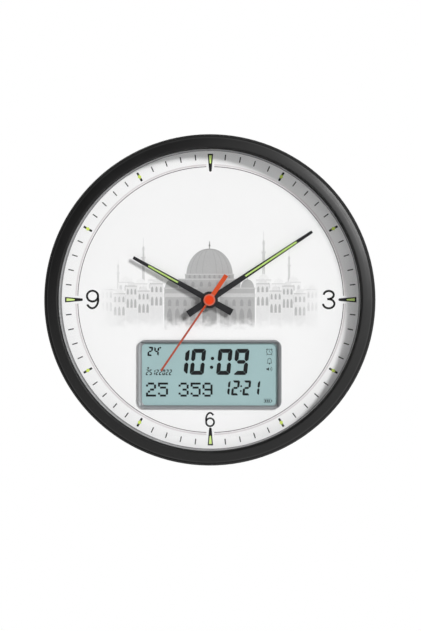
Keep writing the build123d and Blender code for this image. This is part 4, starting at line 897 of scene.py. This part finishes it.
def print_hall():
    """The domed hall in the middle, darker than the town."""
    low, high = DIAL + 2.5 * INK, DIAL + 3 * INK
    top = high + INK / 2
    hall, dark, light = Piece(low, high), Piece(high, top), Piece(high, top)
    hole = circle((0, 0), ARBOR_HOLE_R, 48)
    hall.block(*HALL, hole)
    for tier in HALL_TIERS:
        hall.block(*tier)
    hall.plate(dome(*DOME))
    hall.block(*MAST)
    hall.disc(*BALL)
    curve = dome_side(DOME[2], RIB_RISE, 86, 5)
    for side in (-1, 1):
        hall.plate(dome(side * SIDE_DOME_X, *SIDE_DOME))
        hall.block(side * SIDE_DOME_X, *SIDE_MAST)
        for i in range(4):
            for arch in ARCHES:
                dark.plate(pointed_arch(side * (ARCH_START + ARCH_PITCH * i), *arch))
        for share in RIBS:
            dark.ribbon([(side * share * x, RIB_FOOT + z) for x, z in curve], RIB_WIDTH)
    for count, pitch, *window in WINDOWS:
        for i in range(count):
            dark.plate(pointed_arch(pitch * (i - (count - 1) / 2), *window))
    dark.low, dark.high = top, top + INK / 2
    dark.plate([point for point in pointed_arch(*DOOR) if math.hypot(*point) > ARBOR_HOLE_R])
    light.block(*PORCH, hole)
    for band in HALL_BANDS:
        light.block(*band)
    hall.finish("picture_hall", hall_ink, "spacer_grey")
    dark.finish("picture_hall_openings", hall_dark_ink, "spacer_grey")
    light.finish("picture_hall_bands", hall_light_ink, "spacer_grey")


# ---------------------------------------------------------------- digits of the display
PANEL = front_of("display_panel")
LINE = PANEL + INK           # top of the display's inked electrodes
SEGMENTS = {"0": "abcdef", "1": "bc", "2": "abged", "4": "fgbc", "5": "afgcd", "9": "abcdfg"}
DOTS = {"2": ("01110", "10001", "00001", "00110", "01000", "10000", "11111"),
        "5": ("11111", "10000", "01110", "00001", "00001", "10001", "01110"),
        "3": ("01110", "10001", "00001", "00110", "00001", "10001", "01110"),
        "9": ("01110", "10001", "10001", "01111", "00001", "10001", "01110")}
DOT_PITCH = 1.82
DOT_OVERLAP = 0.06
SLANT = math.tan(math.radians(6.0))
# Sizes of digits: width, height, stroke, gap between segments, and pitch from digit to digit.
TIME_DIGITS = (12.8, 23.6, 3.7, 0.08, 15.3)
CALL_DIGITS = (6.8, 13.6, 2.05, 0.03, 0.0)
DEGREE_DIGITS = (4.6, 8.5, 1.6, 0.03, 5.7)
DATE_DIGITS = (2.4, 5.1, 0.85, 0.01, 3.0)
# The two times: name, size, foot, digits of each group and its place, the two points and their radius.
TIMES = (("display_time", TIME_DIGITS, -67.9, (("1", -33.0), ("0", -18.2), ("09", 5.8)),
          ((2.65, -53.0), (1.85, -61.0)), 1.55),
         ("display_call_time", CALL_DIGITS, -86.5, (("1", 11.0), ("2", 19.4), ("2", 29.6), ("1", 37.9)),
          ((28.7, -78.1), (28.3, -82.5)), 0.85))
DAY_DIGITS = (("2", -57.7), ("5", -46.8), ("3", -28.1), ("5", -17.2), ("9", -6.4))
DAY_TOP = -74.9
DEGREES_AT = (-56.6, -50.9)
DATE_AT = (-58.0, -68.2)
SMALL_POINTS = ((-44.6, -43.3, 0.8), (-55.7, -61.7, 0.85))
SIGNS_X = 54.2               # column of signs at the right
CLOCK_SIGN_Z = -47.0
BELL_SIGN_Z = -55.3
HORN_SIGN_Z = -62.6
CELL_SIGN_Z = -93.0


def segment_outlines(w, h, t, g):
    """Outlines of the seven segments of a cell, from its width, height, stroke and gap."""
    c = 0.45 * t
    tip = 0.16 * t + g
    top = [(c, h), (w - c, h), (w - c / 2 - g, h - c / 2), (w - t - g, h - t), (t + g, h - t),
           (c / 2 + g, h - c / 2)]
    side = [(w, h - c), (w - c / 2, h - c / 2 - g), (w - t, h - t - g), (w - t, h / 2 + c + tip),
            (w - 0.65 * t, h / 2 + tip), (w - 0.35 * t, h / 2 + tip), (w, h / 2 + 0.4 * t + tip)]
    middle = [(0.6 * t, h / 2), (t + g, h / 2 + c), (w - t - g, h / 2 + c), (w - 0.6 * t, h / 2),
              (w - t - g, h / 2 - c), (t + g, h / 2 - c)]

    def flipped(shape, left=False, down=False):
        return [(w - x if left else x, h - z if down else z) for x, z in shape]

    return {"a": top, "b": side, "c": flipped(side, down=True), "d": flipped(top, down=True),
            "e": flipped(side, left=True, down=True), "f": flipped(side, left=True), "g": middle}


def write_digits(piece, digits, x, z, size):
    """Slanted seven-segment digits from a lower left corner."""
    *cell, pitch = size
    outlines = segment_outlines(*cell)
    for i, digit in enumerate(digits):
        for segment in SEGMENTS[digit]:
            piece.plate([(x + i * pitch + px + pz * SLANT, z + pz) for px, pz in outlines[segment]])


def write_dots(piece, digit, x, z):
    """A digit of five by seven square dots from its upper left corner."""
    size = DOT_PITCH + DOT_OVERLAP
    for row, line in enumerate(DOTS[digit]):
        for column, dot in enumerate(line):
            if dot == "1":
                left, top = x + column * DOT_PITCH, z - row * DOT_PITCH
                piece.block(left + DOT_PITCH / 2, top - size, size, size)


def write_time(name, size, foot, groups, points, radius):
    """A time in digits, with the two points between hours and minutes."""
    time = Piece(PANEL, LINE)
    for digits, x in groups:
        write_digits(time, digits, x, foot, size)
    for x, z in points:
        time.disc(x, z, radius)
    time.finish(name, segment_ink, "chip_black")


def write_date():
    """Day and a running number in square dots, the small date, and the temperature."""
    day = Piece(PANEL, LINE)
    for digit, x in DAY_DIGITS:
        write_dots(day, digit, x, DAY_TOP)
    day.finish("display_day", segment_ink, "chip_black")
    small = Piece(PANEL, LINE)
    write_digits(small, "24", *DEGREES_AT, DEGREE_DIGITS)
    write_digits(small, "25122022", *DATE_AT, DATE_DIGITS)
    for x, z, radius in SMALL_POINTS:
        small.disc(x, z, radius, 16)
    small.finish("display_small_digits", segment_ink, "chip_black")


def write_signs():
    """Small outlined signs at the right: an alarm clock, a bell, a sounding horn and a cell."""
    signs = Piece(PANEL, LINE)
    face = (SIGNS_X, CLOCK_SIGN_Z)
    signs.ribbon(circle(face, 2.5, 28), 0.45, closed=True)
    signs.ribbon(moved([(0, 1.5), (0, 0), (1.1, -0.6)], *face), 0.4)
    for side in (-1, 1):
        signs.ribbon(arc(face, 3.3, 3.3, 90 - side * 30, 90 - side * 58, 5), 0.7)
        signs.ribbon(moved([(side * 1.7, -1.9), (side * 2.5, -3.1)], *face), 0.5)
    bell = arc((0, 0.6), 1.5, 1.9, 0, 180, 12) + [(-1.6, -1.0), (-2.3, -1.9), (2.3, -1.9), (1.6, -1.0)]
    signs.ribbon(moved(bell, SIGNS_X + 0.1, BELL_SIGN_Z), 0.45, closed=True)
    signs.disc(SIGNS_X + 0.1, BELL_SIGN_Z - 2.6, 0.55, 12)
    horn = [(-2.6, -0.7), (-1.5, -0.7), (-0.3, -1.7), (-0.3, 1.7), (-1.5, 0.7), (-2.6, 0.7)]
    signs.plate(moved(horn, SIGNS_X, HORN_SIGN_Z))
    for radius in (1.4, 2.6):
        signs.ribbon(arc((SIGNS_X - 0.2, HORN_SIGN_Z), radius, radius, -48, 48, 8), 0.42)
    signs.ribbon(box_outline(SIGNS_X - 1.6, CELL_SIGN_Z, 6.4, 3.2), 0.42, closed=True)
    for i in range(3):
        signs.block(SIGNS_X - 3.6 + 1.7 * i, CELL_SIGN_Z + 0.7, 1.1, 1.8)
    signs.block(SIGNS_X + 2.2, CELL_SIGN_Z + 0.9, 0.7, 1.4)
    signs.finish("display_signs", faint_segment_ink, "chip_black")


# ---------------------------------------------------------------- back of the clock
RAISED = 0.15                # height of a moulded sign
SEAL_LIP_R = 136.1           # inside of the seal round the glass
HEAD_R = 2.6                 # cover screws
SHANK_R = 1.5
CORE_R = SHANK_R - 0.28      # bottom of their thread
SCREW_COUNT = 6
SCREW_START = 15.0
RECESS_REACH = 1.35          # the cross driven into their heads: half its length, half its width, depth
RECESS_HALF = 0.34
RECESS_DEPTH = 1.1
CELL_R = 7.25
CELL_LENGTH = 50.5
CELL_SHOULDER = CELL_LENGTH - 1.6
CELL_BAND = CELL_SHOULDER - 13.0      # the copper-coloured band runs from here to the shoulder
SWITCH_BAR = (8.4, 0.8, 4.4)          # mark above the switch: foot, width and height
SWITCH_RING_Z = -10.8                 # mark below it
SWITCH_RING_R = 1.9
KNOB_ARROW_R = 6.4           # turning arrow round the setting knob
PLUS_X = 23.0                # polarity of the movement's cell
MINUS_X = -20.0
SIGN_LENGTH = 4.0
SIGN_STROKE = 0.8


def cross_recess(piece, ring, centre, turn):
    """Closes a round head with a face that has a cross driven into it."""
    x, height, z = centre
    arm = ((RECESS_REACH, -RECESS_HALF), (RECESS_REACH, RECESS_HALF), (RECESS_HALF, RECESS_HALF))
    cross = []
    for quarter in range(4):
        cosine, sine = cos_sin(90 * quarter + turn)
        for px, pz in arm:
            cross.append((px * cosine - pz * sine, px * sine + pz * cosine))
    rim = [piece.corner(x + px, height, z + pz) for px, pz in cross]
    floor = [piece.corner(x + 0.6 * px, height + RECESS_DEPTH, z + 0.6 * pz) for px, pz in cross]
    piece.walls(rim, floor)
    piece.bm.faces.new(floor)
    piece.fill_between(ring, rim)


def make_cover_screws():
    """Six pan-head screws with a cross recess, each stopped at its own angle."""
    screws = Piece()
    back, front = back_of("cover_screws"), front_of("cover_screws")
    seat = back_of("rear_cover") - back
    ring_r = (half_width_of("cover_screws") - HEAD_R) / cos_sin(SCREW_START)[0]
    length = front - back
    head = [(0.0, HEAD_R - 0.95), (0.12, HEAD_R - 0.5), (0.4, HEAD_R - 0.16), (0.8, HEAD_R), (seat, HEAD_R),
            (seat, SHANK_R)]
    thread = []
    along = seat + 2.0
    while along < length - 2.0:
        thread += [(along, CORE_R), (along + 0.5, SHANK_R), (along + 0.7, SHANK_R), (along + 1.1, CORE_R)]
        along += 1.3
    point = [(length - 1.4, CORE_R), (length, 0.2)]
    for i in range(SCREW_COUNT):
        cosine, sine = cos_sin(SCREW_START + i * 360.0 / SCREW_COUNT)
        place = (ring_r * cosine, back, ring_r * sine)
        rings = screws.turned(head + thread + point, place, (0, 1, 0), open_foot=True)
        cross_recess(screws, rings[0], place, 17.0 * i * i + 8.0)
    made = screws.finish("cover_screws_crossed", finishes["screw_steel"], "screw_steel", smooth=35)
    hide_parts("cover_screws")


def make_cells(node, places):
    """Cells lying along x: jacket, band, crimped ends and button, from their flat end and direction."""
    jacket = [(0.25, CELL_R - 0.75), (0.3, CELL_R - 0.25), (0.6, CELL_R), (CELL_BAND, CELL_R),
              (CELL_BAND, CELL_R - 0.3)]
    band = [(CELL_BAND, CELL_R - 0.3), (CELL_BAND, CELL_R), (CELL_SHOULDER - 0.3, CELL_R),
            (CELL_SHOULDER, CELL_R - 0.25), (CELL_SHOULDER + 0.05, CELL_R - 0.8)]
    flat_end = [(0.0, 4.6), (0.0, 6.2), (0.3, 6.5)]
    button = [(CELL_SHOULDER + 0.1, 3.3), (CELL_SHOULDER + 0.35, 3.0), (CELL_SHOULDER + 0.35, 2.75),
              (CELL_LENGTH - 0.2, 2.75), (CELL_LENGTH, 2.5)]
    insulator = [(CELL_SHOULDER, 6.4), (CELL_SHOULDER + 0.12, 6.3), (CELL_SHOULDER + 0.12, 3.0)]
    parts = (("jackets", [jacket], finishes["cell_jacket"], "cell_jacket"),
             ("bands", [band], cell_band, "cell_jacket"),
             ("ends", [flat_end, button], finishes["contact_metal"], "contact_metal"),
             ("insulators", [insulator], cell_insulator, "bridge_white"))
    for part, profiles, finish, slot in parts:
        piece = Piece()
        for foot, way in places:
            for profile in profiles:
                piece.turned(profile, foot, (way, 0, 0), 56)
        made = piece.finish(node + "_" + part, finish, slot, smooth=40)
        if part == "jackets":
            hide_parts(node)


def make_all_cells():
    """The movement's cell, and the two of the display that lie opposite ways."""
    low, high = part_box("movement_cell")
    middle = back_of("movement_cell") + CELL_R
    make_cells("movement_cell", [((low.x / MM, middle, middle_of("movement_cell")[1]), 1)])
    low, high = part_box("display_cells")
    middle = back_of("display_cells") + CELL_R
    make_cells("display_cells", [((low.x / MM, middle, high.z / MM - CELL_R), 1),
                                 ((high.x / MM, middle, low.z / MM + CELL_R), -1)])


def mark_keys():
    """A white sign on each key, and plain marks beside the switch."""
    square = box_outline(0, -1.3, 2.6, 2.6)
    up = [(-1.7, -1.1), (1.7, -1.1), (0.0, 1.8)]
    down = [(x, -z) for x, z in up]
    for key, outline in (("stop_key", square), ("down_key", down), ("up_key", up), ("mode_key", None)):
        back = back_of(key)
        sign = Piece(back - INK, back)
        if outline:
            sign.plate(moved(outline, *middle_of(key)))
        else:
            sign.ribbon(circle(middle_of(key), 1.35, 28), 0.7, closed=True)
        sign.finish(key + "_sign", white_mark, "dial_white", key + "_body")
    back = back_of("rear_cover")
    marks = Piece(back - INK, back)
    x = middle_of("switch_slider")[0]
    marks.block(x, *SWITCH_BAR)
    marks.ribbon(circle((x, SWITCH_RING_Z), SWITCH_RING_R, 32), SIGN_STROKE, closed=True)
    marks.finish("switch_marks", white_mark, "dial_white")


def mould_signs():
    """Raised signs: turning arrow and polarity on the movement, and an arrow on the battery door."""
    back = back_of("movement_cover")
    signs = Piece(back - RAISED, back)
    x, z = middle_of("setting_knob")
    cosine, sine = cos_sin(30)
    signs.ribbon(arc((x, z), KNOB_ARROW_R, KNOB_ARROW_R, 150, 38, 20), 0.7)
    tip = (x + KNOB_ARROW_R * cosine, z + KNOB_ARROW_R * sine)
    signs.plate(moved([(-1.5, -0.4), (1.2, -0.9), (0.9, 1.9)], *tip))
    half, arm = SIGN_STROKE / 2, (SIGN_LENGTH - SIGN_STROKE) / 2
    signs.block(PLUS_X, z - half, SIGN_LENGTH, SIGN_STROKE)
    signs.block(PLUS_X, z + half, SIGN_STROKE, arm)
    signs.block(PLUS_X, z - half - arm, SIGN_STROKE, arm)
    signs.block(MINUS_X, z - half, SIGN_LENGTH, SIGN_STROKE)
    signs.finish("movement_signs", finishes["movement_black"], "movement_black")
    back = back_of("rear_cover")
    arrow = Piece(back - RAISED, back)
    arrow.plate(moved([(15.5, -2.6), (15.5, 2.6), (12.0, 0.0)], *middle_of("battery_door")))
    arrow.finish("battery_door_arrow", white_mark, "dial_white", "door_body")


def make_glass_seal():
    """Rubber seal on the glass, whose rounded lip shows as a thin black line inside the bezel's opening."""
    seal = Piece()
    glass = back_of("glass_seal")
    depth = front_of("glass_seal") - glass
    outer = half_width_of("glass_seal")
    lip = [(0.0, SEAL_LIP_R), (0.5, SEAL_LIP_R), (0.8, SEAL_LIP_R + 0.25), (0.85, SEAL_LIP_R + 0.6),
           (depth, SEAL_LIP_R + 0.9), (depth, outer), (0.0, outer)]
    seal.turned(lip, (0, glass, 0), (0, 1, 0), 240, hollow=True)
    made = seal.finish("glass_seal_lip", finishes["seal_rubber"], "seal_rubber", smooth=50)
    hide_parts("glass_seal")


def make_dust_cap():
    """Paper dome over the middle of the speaker's cone."""
    cap = Piece()
    foot = front_of("speaker_cone") - 1.4
    x, z = middle_of("speaker_cone")
    rise, radius = 4.2, 8.6
    profile = [(rise * cos_sin(a)[1], radius * cos_sin(a)[0]) for a in range(0, 86, 6)]
    cap.turned(profile + [(rise, 0.3)], (x, foot, z), (0, -1, 0), 48)
    cap.finish("speaker_dust_cap", finishes["cone_paper"], "cone_paper", smooth=60)


# ---------------------------------------------------------------- everything in place
own_finish = {"second_hand_cap": cap_orange}
for entry in frame["record"]["subparts"]:
    packed = bpy.data.objects[entry["node"]]
    for place in packed.material_slots:
        place.material = own_finish.get(entry["node"], finishes[entry["material_slot"]]).material

bpy.data.objects["second_hand"].visible_shadow = False      # keeps the dial clear under the slim hand

print_minute_track()
print_rings()
print_numerals()
print_town()
print_hall()
for clock_time in TIMES:
    write_time(*clock_time)
write_date()
write_signs()
make_cover_screws()
make_all_cells()
mark_keys()
mould_signs()
make_glass_seal()
make_dust_cap()


# ---------------------------------------------------------------- floor, light and camera
# Sizes from here on are in metres.
FLOOR_R = 6.0
FLOOR_Z = -0.5
FLOOR_GLOW = (0.7, 1.35, 0.7, 1.0)    # two distances, and how white the floor is at each
KEY_LIGHT_TURN = 57.0        # where the light comes from, clockwise from 12
KEY_LIGHT_TILT = 50.5        # its angle off the straight line to the dial
KEY_LIGHT = (3.0, 11.5)      # energy, and width in degrees
BACK_LIGHT = (0.9, 30.0)
BACK_LIGHT_WAY = (-0.3, 0.88, 0.37)
AMBIENT = 0.335              # the room's light on dull surfaces
# The mirrored room and the glow round its main light: two directions, and the brightness at each.
ROOM = (0.25, 0.85, 0.05, 0.9)
GLOW = (0.79, 0.99, 0.0, 0.62)
CAMERA_TURN = 2.0            # the camera stands this far to the right of straight in front
CAMERA_RISE = 0.5            # and this far above
CAMERA_DISTANCE = 2.0085
CAMERA_AIM = (0.945 * MM, -37.5 * MM, -14.055 * MM)
VIEW_HEIGHT = 0.5711
SENSOR = 36.0                # of the camera, in millimetres


def lay_floor():
    """A plain pale floor well below the clock, white towards its rim and clear from below."""
    bm = bmesh.new()
    bmesh.ops.create_circle(bm, cap_ends=True, segments=96, radius=FLOOR_R,
                            matrix=Matrix.Translation((0.0, 0.0, FLOOR_Z)))
    mesh = bpy.data.meshes.new("floor")
    bm.to_mesh(mesh)
    bm.free()
    f = Finish("floor_pale", Base_Color=grey(0.9), Roughness=0.8, Specular_IOR_Level=0.1)
    distance = f.vectors("LENGTH", f.vectors("MULTIPLY", f.place(), (1.0, 1.0, 0.0)))
    camera_ray = f.add("LightPath").outputs["Is Camera Ray"]
    share = f.maths("MULTIPLY", f.between(distance, *FLOOR_GLOW), camera_ray)
    seen = f.mixed(share, f.shader, f.add("Emission", {"Color": grey(1.0), "Strength": 1.0}))
    below = f.add("NewGeometry").outputs["Backfacing"]
    mixed = f.mixed(below, seen, f.add("BsdfTransparent"))
    f.feed(f.surface.inputs["Surface"], mixed.outputs[0])
    mesh.materials.append(f.material)
    floor = bpy.data.objects.new("floor", mesh)
    bpy.context.scene.collection.objects.link(floor)


def towards_light():
    """Direction from the clock to the main light."""
    turn, tilt = math.radians(KEY_LIGHT_TURN), math.radians(KEY_LIGHT_TILT)
    return Vector((math.sin(turn) * math.sin(tilt), -math.cos(tilt), math.cos(turn) * math.sin(tilt)))


def hang_sun(name, direction, energy, width):
    """A distant lamp in a direction from the clock; its width in degrees softens the shadows."""
    data = bpy.data.lights.new(name, "SUN")
    data.energy = energy
    data.angle = math.radians(width)
    sun = bpy.data.objects.new(name, data)
    sun.rotation_mode = "QUATERNION"
    sun.rotation_quaternion = direction.to_track_quat("Z", "Y")
    sun.location = direction * 2.0
    bpy.context.scene.collection.objects.link(sun)


def light_studio():
    """A main light from the upper right, a weak one behind, and a pale room that is darker in front."""
    hang_sun("key_light", towards_light(), *KEY_LIGHT)
    hang_sun("back_light", Vector(BACK_LIGHT_WAY).normalized(), *BACK_LIGHT)

    world = bpy.data.worlds.new("studio")
    bpy.context.scene.world = world
    world.use_nodes = True
    w = Wiring(world.node_tree)
    w.tree.nodes.clear()

    def light(strength):
        return w.add("Background", {"Color": grey(1.0), "Strength": strength})

    way = w.add("TexCoord").outputs["Generated"]
    room = w.between(w.parts(way)["Y"], *ROOM, steps="SMOOTHSTEP")
    glow = w.between(w.vectors("DOT_PRODUCT", way, towards_light()), *GLOW, steps="SMOOTHSTEP")
    rays = w.add("LightPath").outputs
    lit = w.mixed(rays["Is Glossy Ray"], light(AMBIENT), light(w.maths("ADD", room, glow)))
    straight = w.maths("MAXIMUM", rays["Is Camera Ray"], rays["Is Transmission Ray"])
    w.add("OutputWorld", {"Surface": w.mixed(straight, lit, light(1.0)).outputs[0]})


def set_camera():
    """Nearly straight in front, aimed a little below the axis of the hands."""
    turn, rise = math.radians(CAMERA_TURN), math.radians(CAMERA_RISE)
    data = bpy.data.cameras.new("camera")
    data.sensor_width = SENSOR
    data.lens = SENSOR * CAMERA_DISTANCE / VIEW_HEIGHT
    camera = bpy.data.objects.new("camera", data)
    away = Vector((math.sin(turn) * math.cos(rise), -math.cos(turn) * math.cos(rise), math.sin(rise)))
    camera.location = Vector(CAMERA_AIM) + away * CAMERA_DISTANCE
    camera.rotation_euler = (math.radians(90.0) - rise, 0.0, turn)
    bpy.context.scene.collection.objects.link(camera)
    bpy.context.scene.camera = camera


lay_floor()
light_studio()
set_camera()
bpy.context.scene.view_settings.view_transform = "Standard"
